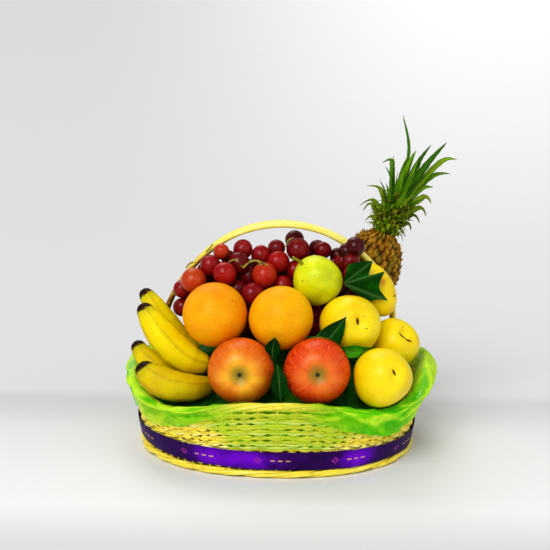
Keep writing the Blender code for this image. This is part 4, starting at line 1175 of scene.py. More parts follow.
def make_satin(skin):
    """The ribbon pulled round the foot of the wall, with three small creases in front. The skin
    gets how far along and how high a point is, and a painted sheen: how much lighter its colour is
    made there."""
    steps, across = 320, 9
    points, spots = [], []
    run, last = 0.0, None
    for a in turns(steps):
        middle = ribbon_middle(a)
        half = RIBBON_WIDTH / 2 * (1 - 0.06 * math.sin(3 * a + 0.6) ** 2)
        crease = 0.0016 * (near_to(a, -124, 2.2) + near_to(a, -62, 2.2))
        crease = crease + 0.0006 * near_to(a, -100, 6)
        mid = wall_at(a, middle, 0.003)
        if last is not None:
            run += float(np.linalg.norm(mid - last))
        last = mid
        # painted sheen: lighter stretches at set angles in front and one behind, strongest across
        # the band's middle
        light = 0.18 + 0.66 * near_to(a, -113, 9) + 0.60 * near_to(a, -98, 8)
        light += 0.78 * near_to(a, -59, 8) + 0.3 * near_to(a, 100, 20)
        for v in np.linspace(-1, 1, across).tolist():
            off = ROW_RELIEF / 2 + 0.0019 + 0.0006 * math.cos(v * 1.5)
            off = off + crease * (0.4 + 0.6 * v * v) + 0.0003 * math.sin(9 * a + 2 * v)
            points.append(wall_at(a, middle + half * v, off))
            spots.append((run / PATTERN_REPEAT, v, light * (0.75 + 0.25 * math.cos(v * 2.2))))
    obj = piece(
        "satin_ribbon", points, grid(steps, across, False, True), skin, "violet_satin",
        replaces=("ribbon",), ribbon=spots,
    )


def swags_round():
    """The net's folds: (angle, half its width, where it starts and how far it sags as shares of the
    hanging net, strength). They are deepest at the two front corners, as in the photo."""
    dice = random.Random(41)
    folds = []
    for k in range(64):
        middle = -180 + 360 * (k + dice.random()) / 64
        corner = near_to(math.radians(middle), -38, 30) + near_to(math.radians(middle), -146, 26)
        half = dice.uniform(7, 17) * (1 + 0.5 * corner)
        start, sag = dice.uniform(0.05, 0.75), dice.uniform(0.05, 0.40)
        strength = dice.uniform(0.35, 1.0)
        folds.append((math.radians(middle), math.radians(half), start, sag, strength))
    return folds


def fold_at(folds, a, share):
    """How high the folds stand here, from 0 to about 1."""
    height = 0.0
    for middle, half, start, sag, strength in folds:
        aside = angle_between(a, middle) / half
        if abs(aside) < 1:
            line = start + sag * (1 - aside * aside)
            height += strength * (1 - aside**4) * math.exp(-(((share - line) / 0.055) ** 2))
    return min(height, 1.2)


def make_net_edge(skin):
    """The net's edge, gathered over the rim: soft swags run along it, and it stands up and puffs
    out at the right. In front of the middle it is a single thin layer."""
    dice = random.Random(17)
    waves = [
        (dice.randint(14, 60), dice.uniform(0, 6.28), dice.uniform(0.3, 1.0)) for _ in range(9)
    ]
    folds = swags_round()
    steps, across = 460, 34
    points, dense, cloth, painted_light_on_net = [], [], [], []
    for a in turns(steps):
        top = wall_top(a) + 2 * RIM_ROD[1] + 0.0004
        pleat = sum(w * math.sin(n * a + p) for n, p, w in waves) / 3.2
        drop, stand, puff = skirt_drop(a), skirt_stand(a), skirt_puff(a)
        drop += 0.0016 * pleat
        rim_off = RIM_ROD[0] - WALL_THICK / 2 + GAP + 0.0006
        low_off = ROW_RELIEF / 2 + 0.0024
        crest = top + 0.0013 + stand + 0.0012 * pleat
        over = wall_at(a, crest, -WALL_THICK / 2 + stand * 0.3)
        over[2] = crest
        path = [
            wall_at(a, top - 0.020, -WALL_THICK - 0.006),
            wall_at(a, top - 0.004, -WALL_THICK - 0.0035),
            over,
            wall_at(a, top - 0.0005 + stand * 0.3, rim_off + puff),
            wall_at(a, top - 0.0040, rim_off + puff * 0.9),
            wall_at(a, top - 0.55 * drop, blend(rim_off, low_off, 0.6) + puff * 0.5),
            wall_at(a, top - drop, low_off + puff * 0.15),
        ]
        line, _ = curve_through(path, [0] * len(path), across)
        out = outward(a, top)
        thin, left, right = near_to(a, -93, 18), near_to(a, -140, 22), near_to(a, 0, 24)
        end, corner = near_to(a, 176, 22), near_to(a, -42, 20)
        for j, point in enumerate(line):
            share = j / (across - 1)
            fold = fold_at(folds, a, share)
            hang = max(0.0, (share - 0.35) / 0.65)
            push = 0.0008 * pleat * (0.35 + share) + 0.0021 * fold * (1 - 0.4 * thin)
            points.append(point + out * push)
            layer = 1 - 0.94 * thin - 0.42 * left * hang - 0.22 * right - 0.35 * end
            dense.append(max(layer, 0.08) * (0.84 + 0.25 * fold))
            cloth.append((a * 5.5 + share * 1.5, share * 5.0 - a * 2.0, 0.0))
            # painted light and shade: paler on the folds, at the right and at the front left,
            # darker at the front right corner
            painted_light_on_net.append(fold + 1.1 * right + 0.3 * left - 0.45 * corner)
    obj = piece(
        "net_edge", points, grid(steps, across, False, True), skin, "lime_net",
        replaces=("net_skirt",), dense=dense, cloth=cloth, crease=painted_light_on_net,
    )


VEIL_FROM_TO = (-134, -52)  # the angles of its two ends, in degrees
VEIL_FOOT = 0.0345


def make_net_veil(skin):
    """One thin layer of the net falls over the front of the weave as far as the ribbon, wide at
    the rim and narrow below."""
    steps, across = 120, 18
    points, dense, cloth, painted_light_on_net = [], [], [], []
    for i in range(steps):
        u = i / (steps - 1)
        a = math.radians(blend(*VEIL_FROM_TO, u))
        top = wall_top(a) + RIM_ROD[1]
        for j in range(across):
            v = j / (across - 1)
            below_rim = min(1, v * 4)
            bow = 0.0012 * math.sin(math.pi * v) + 0.0005 * math.sin(40 * a + 3 * v)
            off = blend(RIM_ROD[0] - WALL_THICK / 2 + 0.0012, ROW_RELIEF / 2 + 0.0022, below_rim)
            points.append(wall_at(a, blend(top, VEIL_FOOT, v), off + bow))
            left, right = 0.10 + 0.24 * v**0.7, blend(0.98, 0.80, v)
            wavy = 0.02 * math.sin(9 * v + 2) + 0.012 * math.sin(23 * v)
            edge = min((u - left - wavy) / 0.05, (right - u + wavy) / 0.06)
            fold = 0.5 + 0.5 * math.sin(34 * u + 5 * math.sin(3 * v) - 5 * v)
            thick = (0.54 + 0.26 * fold**3) * (0.5 + 0.5 * below_rim)
            dense.append(min(max(edge, 0.0), 1.0) * thick)
            cloth.append((u * 9, v * 2.2, 4.0))
            # painted sheen: paler on the veil's folds
            painted_light_on_net.append(0.5 * fold**4)
    obj = piece(
        "net_veil", points, grid(steps, across, False), skin, "lime_net", dense=dense, cloth=cloth,
        crease=painted_light_on_net,
    )


def make_net_filling(skin):
    """The crumpled net under the fruit, a low mound that gives way under whatever lies on it."""
    balls = solid_balls() + [(c, r + 0.001) for c, r in grape_spots()]
    dice = random.Random(23)
    waves = [
        (dice.uniform(60, 260), dice.uniform(60, 260), dice.uniform(0, 6.28)) for _ in range(10)
    ]
    steps = 96
    shares = np.linspace(1.0, 0.04, 26)
    points = []
    for share in shares:
        for a in turns(steps):
            edge = wall_at(a, BED_RIM, -WALL_THICK - 0.0012)
            x, y = edge[0] * share, edge[1] * share
            height = bed_height(x, y, balls, share)
            fold = sum(abs(math.sin(p * x + q * y + r)) for p, q, r in waves) / 10 - 0.64
            points.append((x, y, height + 0.010 * fold - 0.001))
    faces = grid(len(shares), steps)
    points.append((0, 0, bed_height(0, 0, balls, 0) - 0.002))
    last = (len(shares) - 1) * steps
    faces += [(last + i, last + (i + 1) % steps, len(points) - 1) for i in range(steps)]
    obj = piece(
        "net_filling", points, faces, skin, "lime_net", replaces=("net_bed",),
        dense=[1.0] * len(points), cloth=np.array(points) * 45, crease=[0.15] * len(points),
    )


# Fruit.
def turned_fruit(
    centre, radius, axis, profile, lumps=0.0, phase=0.0, marks=(), hollows=(), cheek=None,
    amber=None,
):
    """The same turned shape as the solid's, fine enough to look round, with its eye marks pressed
    in. A mark is (pixel, long, wide, slant in degrees, depth), a hollow round it (pixel, radius,
    depth), sizes in mm, and a cheek patch or an amber and painted shade patch (pixel, where it ends
    as a cosine)."""
    sides, rings = 96, 70
    axis = unit(axis)
    side, other = axes_of(axis)
    t = (np.arange(1, rings + 1) / (rings + 1))[:, None]
    s = np.array(turns(sides))[None, :]
    shape = np.array([profile(float(v)) for v in t[:, 0]])
    dent = 1 - lumps * (0.5 + 0.5 * np.sin(3 * s + phase + 2.2 * t))
    dent = dent - lumps * 0.6 * np.sin(2 * s - phase) ** 2 * np.sin(np.pi * t)
    away = shape[:, :1] * dent
    offset = (
        axis * shape[:, 1][:, None, None]
        + side * (np.cos(s) * away)[..., None]
        + other * (np.sin(s) * away)[..., None]
    )
    ends = np.array([axis * profile(v)[1] for v in (0.0, 1.0)])
    offset = np.concatenate([offset.reshape(-1, 3), ends])
    points = centre + offset * radius
    along = np.concatenate([np.repeat(t[:, 0], sides), [0.0, 1.0]])
    turn = np.concatenate([np.tile(s[0], rings), [0.0, 0.0]])
    turned = np.stack([np.cos(turn), np.sin(turn), along * 0.55], 1)
    if lumps:
        swell = np.sin(points @ (95, 60, -40) + phase)
        swell = swell + np.sin(points @ (-50, 105, 90) + 2 * phase)
        points = points + offset * (0.45 * MM * swell)[:, None]
    for pixel, reach, depth in hollows:
        way = on_ball(*pixel, centre, radius)
        near = glow(points - centre, way * radius, reach * MM)
        points = points - way * (near * depth * MM)[:, None]
    mark = np.zeros(len(points))
    right, _, _ = camera_axes()
    for pixel, long, wide, slant, depth in marks:
        way = on_ball(*pixel, centre, radius)
        first = unit(right - way * (right @ way))
        second = np.cross(way, first)
        a = math.radians(slant)
        u = (points - centre) @ (first * math.cos(a) + second * math.sin(a))
        v = (points - centre) @ (second * math.cos(a) - first * math.sin(a))
        facing = (offset @ way) > 0.2
        close = np.exp(-((u / (long * MM)) ** 2) - (v / (wide * MM)) ** 2) * facing
        points = points - way * (close * depth * MM)[:, None]
        mark = np.maximum(mark, close)
    values = {"mark": mark, "along": along, "turned": turned}
    for key, patch in (("cheek", cheek), ("amber", amber)):
        values[key] = np.zeros(len(points))
        if patch:
            pixel, least = patch
            way = on_ball(*pixel, centre, radius)
            values[key] = np.clip((offset @ way - least) / (1 - least), 0, 1)
    return points, capped(rings, sides), values


ORANGE_SCARS = {"orange_left": (233, 300), "orange_right": (296, 333)}
PEAR_DETAILS = {
    "pear_middle": dict(
        marks=(
            ((359.6, 320.7), 2.0, 4.6, 12, 2.2), ((365.5, 316), 0.9, 0.9, 0, 0.2),
            ((368, 329), 1.0, 0.9, 0, 0.2),
        ),
        hollows=(((360, 321), 8.0, 3.6), ((340, 300), 9, 1.2), ((372, 344), 8, 1.2)),
        cheek=((322, 341), 0.72), amber=((350, 292), 0.86),
    ),
    "pear_front": dict(
        marks=(((396.5, 371.5), 1.5, 4.4, 38, 1.8), ((394, 364), 0.7, 0.7, 0, 0.1)),
        hollows=(((397, 371), 8.0, 3.4), ((405, 392), 8, 1.4), ((362, 366), 9, 1.2)),
        amber=((388, 409), 0.90),
    ),
    "pear_side": dict(
        marks=(
            ((404, 334), 6.5, 1.3, -32, 2.4), ((411, 340), 5.5, 1.2, -12, 2.0),
            ((404, 325), 0.8, 0.8, 0, 0.2),
        ),
        hollows=(
            ((405, 334), 7.0, 4.0), ((412, 341), 6, 2.6), ((393, 352), 8, 2.0),
            ((386, 326), 7, 1.4),
        ),
        amber=((418, 358), 0.88),
    ),
}


def make_round_fruit(orange_looks, apple_looks, pear_look):
    """The two oranges, the two apples and the three yellow pears in front."""
    rows = []
    for (name, centre, radius, axis), look in zip(ORANGES, orange_looks):
        scar = (ORANGE_SCARS[name], 1.3, 1.0, 0, 0.5)
        shape = turned_fruit(place(centre), radius, axis, orange_profile, marks=(scar,))
        rows.append((name, shape, look, "orange_skin"))
    for (name, centre, radius, axis), look in zip(APPLES, apple_looks):
        shape = turned_fruit(place(centre), radius, axis, apple_profile)
        rows.append((name, shape, look, "apple_skin"))
    for name, centre, radius, axis, lumps, phase in YELLOW_PEARS:
        more = PEAR_DETAILS[name]
        shape = turned_fruit(place(centre), radius * MM, axis, pear_profile, lumps, phase, **more)
        rows.append((name, shape, pear_look, "yellow_pear_skin"))
    for name, (points, faces, values), look, slot in rows:
        piece(name + "_fruit", points, faces, look, slot, replaces=(name,), **values)


def make_rear_pear(skin):
    """The long yellow pear behind, which leans to the left."""
    sides, rings = 72, 56
    size = PEAR_REAR["radius"] * MM
    centre = place(PEAR_REAR["centre"])
    axis = unit(PEAR_REAR["axis"])
    side, other = axes_of(axis, (1, 0, 0))
    points = []
    for k in range(1, rings + 1):
        a = math.pi * k / (rings + 1)
        away = math.sin(a) * (1 - 0.10 * math.cos(a)) * PEAR_REAR["narrow"]
        for s in turns(sides):
            points.append(centre + axis * size * math.cos(a) + spoke(side, other, s) * size * away)
    points = np.array(points + [centre + axis * size, centre - axis * size])
    belly = 0.0225  # the pear's radius where its marks show

    def patch(px, py, reach):
        return glow(points, centre + on_ball(px, py, centre, belly) * belly, reach)

    piece(
        "pear_rear_fruit", points, capped(rings, sides), skin, "yellow_pear_skin",
        replaces=("pear_rear",), cheek=np.zeros(len(points)),
        mark=np.maximum(patch(394.6, 296, 1.3 * MM * 1.6), patch(386, 292, 0.7 * MM * 1.6)),
        # painted shadow: the handle's shadow across the pear, and painted shade on its lower part
        amber=np.maximum(patch(383, 281, 0.006), 0.8 * patch(388, 309, 0.009)),
    )


def make_green_fruit(skin):
    """The green pear with its stalk, which bends over to the left."""
    centre, radius = place(PEAR_GREEN["centre"]), PEAR_GREEN["radius"] * MM
    axis = unit(PEAR_GREEN["axis"])
    points, faces, values = turned_fruit(
        centre, radius, axis, green_pear_profile, 0.02, 1.0,
        hollows=(
            ((322, 298), 8, 1.6), ((304, 268), 8, 1.2), ((330, 275), 8, 1.4), ((310, 292), 7, 1.0),
        ),
        marks=(
            ((302, 281), 1.2, 1.0, 0, 0.6), ((322, 296), 0.7, 0.7, 0, 0.1),
            ((319, 301), 0.6, 0.6, 0, 0.1),
        ),
        cheek=((312, 300), 0.80),
    )
    batch = Batch()
    batch.add(points, faces, **{key: values[key] for key in ("mark", "cheek", "amber")})
    tip = centre + axis * radius * 0.96
    bend = unit(axis + np.array([-0.55, -0.25, -0.25]))
    path = [tip, tip + axis * 0.004, tip + axis * 0.0075 + bend * 0.004]
    path.append(tip + axis * 0.008 + bend * 0.0075)
    stalk, size = curve_through(path, [0.0026, 0.0016, 0.0017, 0.0023], 12)
    add_rod(batch, stalk, size, 8, mark=[0.45], cheek=[1.0], amber=[0.2])
    batch.piece("pear_green_fruit", skin, "green_pear_skin", replaces=("pear_green",))


BANANA_LENGTH = 0.150  # the skin's tip and flecks are laid out for a fruit this long
DARKER_WHOLE_FRUIT = {"banana_lower_front": 0.62, "banana_lower_rear": 0.35}  # how much darker and browner a whole fruit is painted, added to the underside's painted shade


def make_bananas(skin):
    """Five soft ridges, a blunt dark tip and flat sides. The skin gets how far along a point is,
    how near a ridge, and how much painted shade it gets: darker on the underside, and darker all
    over on the two lower fruits."""
    count, sides = 90, 60
    for name in BANANAS:
        line, size = banana_line(name, count)
        points, run, lane = [], [], []
        up = np.array([0.3, -0.2, 1.0])
        steps = np.linalg.norm(np.diff(line, axis=0), axis=1)
        shares = np.concatenate([[0.0], np.cumsum(steps)]) / BANANA_LENGTH
        for k, (point, share) in enumerate(zip(line, shares.tolist())):
            up, other = axes_of(heading(line, k), up)
            end = 1 - 0.30 * math.exp(-((share / 0.010) ** 2))
            end = end + 0.05 * math.exp(-(((share - 0.05) / 0.02) ** 2))
            for s in turns(sides):
                ridge = 0.5 - 0.5 * math.cos(5 * s)
                swell = (1 - 0.05 + 0.055 * ridge**2.2) * end
                out = spoke(up, other, s)
                points.append(point + out * size[k] * swell)
                # the third value is painted shade: the underside darker, and the two lower fruits
                # darker all over
                run.append((share, ridge**14, max(0.0, -out[2]) * 0.6 + DARKER_WHOLE_FRUIT.get(name, 0.0)))
                lane.append((math.cos(s) * 1.2, math.sin(s) * 1.2, share))
        points += [line[0] - unit(line[1] - line[0]) * 0.0006, line[-1]]
        run += [(0, 0, 0), (1, 0, 0)]
        lane += [(0, 0, 0), (0, 0, 1)]
        piece(
            name + "_fruit", points, capped(count, sides), skin, "banana_skin",
            replaces=(name,), run=run, lane=lane,
        )


# Tint of single grapes by the pixel where they show: 0 is nearly black, 1 orange-brown.
# The darkest are partly painted shade on grapes that lie in shadow, partly their own dark colour.
GRAPE_TINTS_AND_SHADE = (
    (348, 246, 0.16), (338, 259, 0.20), (194, 276, 0.88), (219, 250, 0.84), (308, 249, 0.30),
    (316, 246, 0.34), (267, 271, 0.80), (279.5, 257, 0.66), (355, 247, 0.20), (347, 251, 0.14),
    (349, 262, 0.40), (262, 291, 0.42), (230, 270, 0.62),
)
# Grapes that fill the dark hollow between the right orange and the pears, and three that tie the
# heap's last grape on the right to the ones under it: centre and radius in mm.
SHADED_GRAPES = (
    ((39.5, 4.5, 163.5), 11.5), ((44.6, -2.0, 150.5), 11.5), ((30.0, -4.0, 150.0), 11.0),
    ((40.0, -6.0, 138.0), 11.0), ((52.0, 10.0, 166.0), 11.0), ((39.0, 17.0, 157.0), 11.5),
    ((24.0, -2.0, 136.0), 11.0), ((55.0, 4.0, 146.0), 11.0),
    ((78.8, -3.0, 229.0), 10.2), ((83.0, -9.0, 218.5), 10.6), ((84.5, 5.0, 222.0), 9.6),
)
STALK_END = place((-22, 85, 300))  # the grapes hang from about here


def make_grape_heap(skin):
    """Every grape is a slightly long ball with a small scar at its end."""
    dice = random.Random(29)
    rings, sides = 13, 20
    t = np.arange(1, rings + 1) / (rings + 1) * np.pi
    s = np.array(turns(sides))
    wide = np.sin(t)[:, None]
    ball = [wide * np.cos(s), wide * np.sin(s), np.repeat(np.cos(t)[:, None], sides, 1)]
    ball = np.concatenate([np.stack(ball, -1).reshape(-1, 3), [[0, 0, 1], [0, 0, -1]]])
    faces = capped(rings, sides)
    spots = list(grape_spots())
    shown = len(spots)
    tries = 0
    while tries < 4000 and len(spots) < shown + INNER_GRAPES:
        tries += 1
        centre, half = BUNCH_CORES[dice.choice((0, 0, 1, 1, 2))]
        way = unit([dice.gauss(0, 1) for _ in range(3)])
        radius = dice.uniform(9.5, 11.5) * MM
        spot = place(centre) + way * (place(half) - radius * 0.75)
        if all(np.linalg.norm(spot - c) > 0.72 * (radius + r) for c, r in spots):
            spots.append((spot, radius))
    spots += [(place(centre), radius * MM) for centre, radius in SHADED_GRAPES]
    batch = Batch()
    for i, (centre, radius) in enumerate(spots):
        px, py = pixel_of(centre)
        in_front = centre[1] < FRONT_DEPTH
        tint = 0.30 + 0.22 * dice.random()
        if i < shown and in_front:
            tint = 0.36 + 0.26 * dice.random()
        for gx, gy, own in GRAPE_TINTS_AND_SHADE:
            if math.hypot(px - gx, py - gy) < 7 and in_front:
                tint = own
        long = unit([dice.gauss(0, 1), dice.gauss(0, 1), dice.gauss(0, 1)])
        grown = ball * radius * (1.0 if i < shown else 0.98)
        grown = grown + long * (ball @ long)[:, None] * radius * 0.05
        hung = unit(centre - STALK_END)
        tip = hung if dice.random() < 0.6 else unit([dice.gauss(0, 1), -1, dice.gauss(0, 1)])
        mark = np.exp(-((1 - ball @ tip) / 0.006))
        batch.add(centre + grown, faces, tint=[tint], mark=mark)
    batch.piece("grape_heap", skin, "grape_skin", replaces=("grape_bunch",))


# Stalks that show between the grapes: pixels that each runs through, depth and radius in mm.
SHOWN_TWIGS = (
    (((243, 268), (250, 262), (258, 261), (268, 266)), -20, 1.3),
    (((258, 261), (262, 268), (263, 276)), -21, 1.0),
    (((206, 252), (210, 248), (213, 244)), -2, 0.9),
    (((186, 268), (189, 264), (193, 262)), -8, 0.9),
    (((229, 262), (236, 260), (243, 268)), -16, 1.0),
    (((286, 247), (288, 241), (292, 238)), 4, 0.8),
)


def make_twigs(skin):
    """The stalks that show, and a short one from every grape that hangs clear of the rest."""
    batch = Batch()
    for path, depth, size in SHOWN_TWIGS:
        points = [seen_from_front(px, py, depth * MM) for px, py in path]
        line, _ = curve_through(points, [0] * len(points), 12)
        add_rod(batch, line, size * MM, 7)
    for start, end in twig_ends():
        add_rod(batch, np.linspace(start, end, 6), 0.0012, 6)
    batch.piece("grape_stalks", skin, "leaf_green")


# Pineapple.
EYES_ROUND = 22
PINE_DOME = 7.0  # height of the rounded top above the shoulders, in mm
EYE_PITCH = 7.6  # height of a row of eyes, in mm


def cell_noise(i, j, seed):
    """An even number from 0 to 1 for each eye of the rind."""
    value = math.sin(i * 127.1 + j * 311.7 + seed * 74.7) * 43758.5453
    return value - math.floor(value)


def make_pine_body(skin):
    """Rows of slightly uneven eyes, raised in the middle and sunk at the seams, each with a papery
    flap that points up. The skin gets an eye's rise, its shade and how papery a point is."""
    axis = unit(PINE_LEAN)
    side, other = axes_of(axis, (0, 1, 0))
    rings, sides = 200, 240
    points, eyes = [], []
    for k in range(rings):
        down = blend(-PINE_DOME, PINE_LENGTH, (k + 0.5) / rings)
        radius = float(pine_radius(max(down, 0.0)))
        if down < 3:
            radius *= math.sqrt(max(0.0, 1 - ((3 - down) / (PINE_DOME + 3.2)) ** 2))
        row = down / EYE_PITCH
        for s in turns(sides):
            best, shade = 9.0, 0.0
            for r in (math.floor(row) - 1, math.floor(row), math.floor(row) + 1):
                column = s / (2 * math.pi) * EYES_ROUND + 0.5 * (r % 2) + 0.08 * r
                c = math.floor(column)
                eye = c % EYES_ROUND
                dx = (column - c - 0.5) * 2 + 0.75 * (cell_noise(eye, r, 7) - 0.5)
                dy = (row - r - 0.5) * 1.25 + 0.55 * (cell_noise(eye, r, 8) - 0.5)
                far = math.hypot(dx * 0.98, dy)
                if far < best:
                    best, shade = far, cell_noise(eye, r, 1)
            rise = max(0.0, 1 - best**2.4)
            reach = EYE_RELIEF * (0.85 * rise**0.7 - 0.55) + 1.2 * max(0.0, 1 - best * 3.2)
            reach = radius + (reach + 0.8 * (shade - 0.5)) * min(1.0, radius / 14)
            points.append(PINE_TOP + axis * down * MM + spoke(side, other, s) * reach * MM)
            eyes.append((rise, shade, 0.0))
    points += [PINE_TOP - axis * PINE_DOME * MM, PINE_TOP + axis * PINE_LENGTH * MM]
    eyes += [(0.2, 0.5, 0.0)] * 2
    batch = Batch()
    batch.add(points, capped(rings, sides), eye=np.array(eyes))
    for r in range(int(PINE_LENGTH / EYE_PITCH)):
        down = (r + 0.5) * EYE_PITCH
        high = float(pine_radius(down)) + EYE_RELIEF * 0.25
        for c in range(EYES_ROUND):
            s = (c + 0.5 - 0.5 * (r % 2) - 0.08 * r) / EYES_ROUND * 2 * math.pi
            out = spoke(side, other, s)
            start = PINE_TOP + axis * (down + 1.6) * MM + out * high * MM
            tip = start - axis * 5.2 * MM + out * (0.9 + 0.9 * cell_noise(c, r, 2)) * MM
            half = np.cross(axis, out) * (1.6 + cell_noise(c, r, 4)) * MM
            middle = (start + tip) / 2 + out * 0.0006
            flap = [start - half, start + half, middle + half * 0.5, tip, middle - half * 0.5]
            pale = 0.25 + 0.75 * cell_noise(c, r, 5)
            paper = [(0.6, 0.5, pale * f) for f in (0.1, 0.1, 0.6, 1.0, 0.6)]
            batch.add(flap, [(0, 1, 2, 3, 4)], eye=np.array(paper))
    batch.piece("pineapple_body", skin, "pineapple_rind", replaces=("pineapple",))


ROSETTE = 84  # short leaves round the foot of the crown
GOLDEN_TURN = 2.39996  # from one of them to the next, so that none stands behind another
STRAP = (  # a strap's section: how far across as a share of its half width, and how far up
    (-1, 0.26), (-0.5, 0.02), (0, -0.10), (0.5, 0.02), (1, 0.26), (0.5, -0.08), (0, -0.24),
    (-0.5, -0.08),
)


def strap_leaf(batch, path, width, back, shade, dry):
    """A keeled strap with small saw teeth along both edges, drawn to a point. The path is its foot,
    its bend and its tip, and `back` the way its upper face looks."""
    stations, sides = 18, len(STRAP)
    line, size = curve_through(path, [1.0, 0.82, 0.06], stations)
    points, leaf, lane = [], [], []
    for k, point in enumerate(line):
        along = heading(line, k)
        side = unit(np.cross(along, back))
        out = np.cross(side, along)
        half = width / 2 * size[k] * (1.06 if k % 2 else 0.92)
        share = k / (stations - 1)
        for u, lift in STRAP:
            points.append(point + side * half * u + out * (half * lift + 0.0002))
            leaf.append((share, u, shade))
            lane.append((u * 1.6, shade * 7, share * 0.35))
    faces = grid(stations, sides)
    faces += [tuple(reversed(range(sides))), tuple(range(sides * (stations - 1), sides * stations))]
    batch.add(points, faces, leaf=np.array(leaf), lane=np.array(lane), dry=[dry])


def make_crown_leaves(skin):
    """Long leaves to the places seen in front, fuller rings behind them, a rosette of short leaves
    that arch out and curl over at the foot, and a tuft in the heart. Spots are given in mm as
    (across, up, away) from the crown's foot."""
    dice = random.Random(41)
    across, up, away = crown_frame()
    base = PINE_TOP + up * CROWN_LIFT * MM
    batch = Batch()

    def spot(out, far, high, start=base):
        return start + out * far * MM + up * high * MM

    for tx, tu, bx, bu, fu, width, lean in CROWN_LEAVES:
        side = math.copysign(1, tx)
        path = [
            spot(across, side * 3, fu * 0.9) + away * lean * 0.3 * MM,
            spot(across, bx, bu - CROWN_LIFT) + away * lean * 0.8 * MM,
            spot(across, tx, tu - CROWN_LIFT) + away * lean * MM,
        ]
        toward = unit(across * side * 0.6 + up * 0.5 - away * 0.6)
        dry = 0.55 if tu < 60 else 0.0
        strap_leaf(batch, path, width * 1.15 * MM, toward, dice.random(), dry)
    for row, (height, count, reach, rise, width) in enumerate(CROWN_RINGS):
        low = row < 2
        many = int(count * (1.5 if low else 2.2))
        for k in range(many):
            turn = 2 * math.pi * (k + 0.5 * (row % 2)) / many + 0.3 * row + dice.uniform(-0.1, 0.1)
            out = spoke(across, away, turn)
            grow = dice.uniform(0.80, 1.04) * (0.9 if low else 1.0)
            path = [
                spot(out, 5, height),
                spot(out, reach * 0.62 * grow, height + rise * 0.55),
                spot(out, reach * grow, height + rise * (0.75 if low else 1.0) * grow),
            ]
            dry = 0.45 if low else 0.15
            strap_leaf(batch, path, width * 0.85 * MM, out * 0.7 + up * 0.4, dice.random(), dry)
    for k in range(ROSETTE):
        out = spoke(across, away, GOLDEN_TURN * k)
        high = 1 + 46 * (k / ROSETTE) ** 1.15
        grow = dice.uniform(0.8, 1.15)
        foot = spot(out, blend(12.5, 5, high / 50), high)
        path = [
            foot,
            spot(out, 7.5 * grow, 7.5 * grow, foot),
            spot(out, 14.5 * grow, dice.uniform(-1.0, 5.5) * grow, foot),
        ]
        width, shade = dice.uniform(5.5, 8.0) * MM, dice.random()
        strap_leaf(batch, path, width, out * 0.5 + up * 0.8, shade, dice.uniform(0.3, 1.0))
    for k in range(16):
        out = spoke(across, away, 2.4 * k)
        high = 52 + 2.2 * k
        path = [
            spot(out, 2, high - 22),
            spot(out, 9, high + 4),
            spot(out, 15 - 0.5 * k, high + 16 + 0.6 * k),
        ]
        strap_leaf(batch, path, 7.0 * MM, out * 0.8 + up * 0.2, dice.random(), 0.0)
    batch.piece("pineapple_leaves", skin, "pineapple_leaf", replaces=("pineapple_crown",))


# Leaves.
LEAF_HALF = 0.0004  # half a leaf's thickness, as it is kept off the fruit
LEAF_AIR = 0.0011


def thick_leaf(name, points, faces, skin, leaf):
    """A leaf from its middle surface, thickened evenly to both sides."""
    blade = piece(
        name + "_blade", points, faces, skin, "leaf_green", replaces=(name,), leaf=leaf
    )
    change = blade.modifiers.new("thickness", "SOLIDIFY")
    change.thickness = 0.0007
    change.offset = 0.0


def vein_at(share):
    """1 on a side vein and 0 between two, where veins come at whole numbers and a half."""
    return max(0.0, 1 - abs(share % 1.0 - 0.5) * 2 * 5)


def make_dark_leaf(row, skin, edge_painted_light):
    """A bowed leaf, moved off whatever it lies on. The skin gets the side veins, the midrib and
    a painted shade, which goes from one edge to the other."""
    name, middle, along, side, length, width = row
    length, width = length * MM, width * MM
    along = unit(along)
    side = unit(np.asarray(side, float) - along * (along @ np.asarray(side, float)))
    normal = np.cross(along, side)
    steps, across = 40, 17
    fullness = 0.55 if name == "leaf_pointed" else 0.85
    points, leaf = [], []
    for k in range(steps + 1):
        t = k / steps
        bow = 0.12 * length * (math.sin(math.pi * t) - 0.5)
        spine = place(middle) + along * ((t - 0.5) * length) + normal * bow
        reach = math.sin(math.pi * t**fullness) ** 1.05 * width / 2
        for u in np.linspace(-1, 1, across).tolist():
            ripple = 0.0007 * math.sin(16 * t + 3 * u) * abs(u)
            spot = spine + side * reach * u + normal * (0.16 * reach * abs(u) ** 1.3 + ripple)
            points.append(moved_off(spot, LEAF_HALF, solid_balls(), LEAF_AIR))
            vein = vein_at(t * 9 + abs(u) * 1.1) * (1 - abs(u))
            rib = math.exp(-((u * reach / 0.0006) ** 2))
            leaf.append((vein, rib, blend(*edge_painted_light, 0.5 + 0.5 * u)))
    thick_leaf(name, points, grid(steps + 1, across, False), skin, leaf)


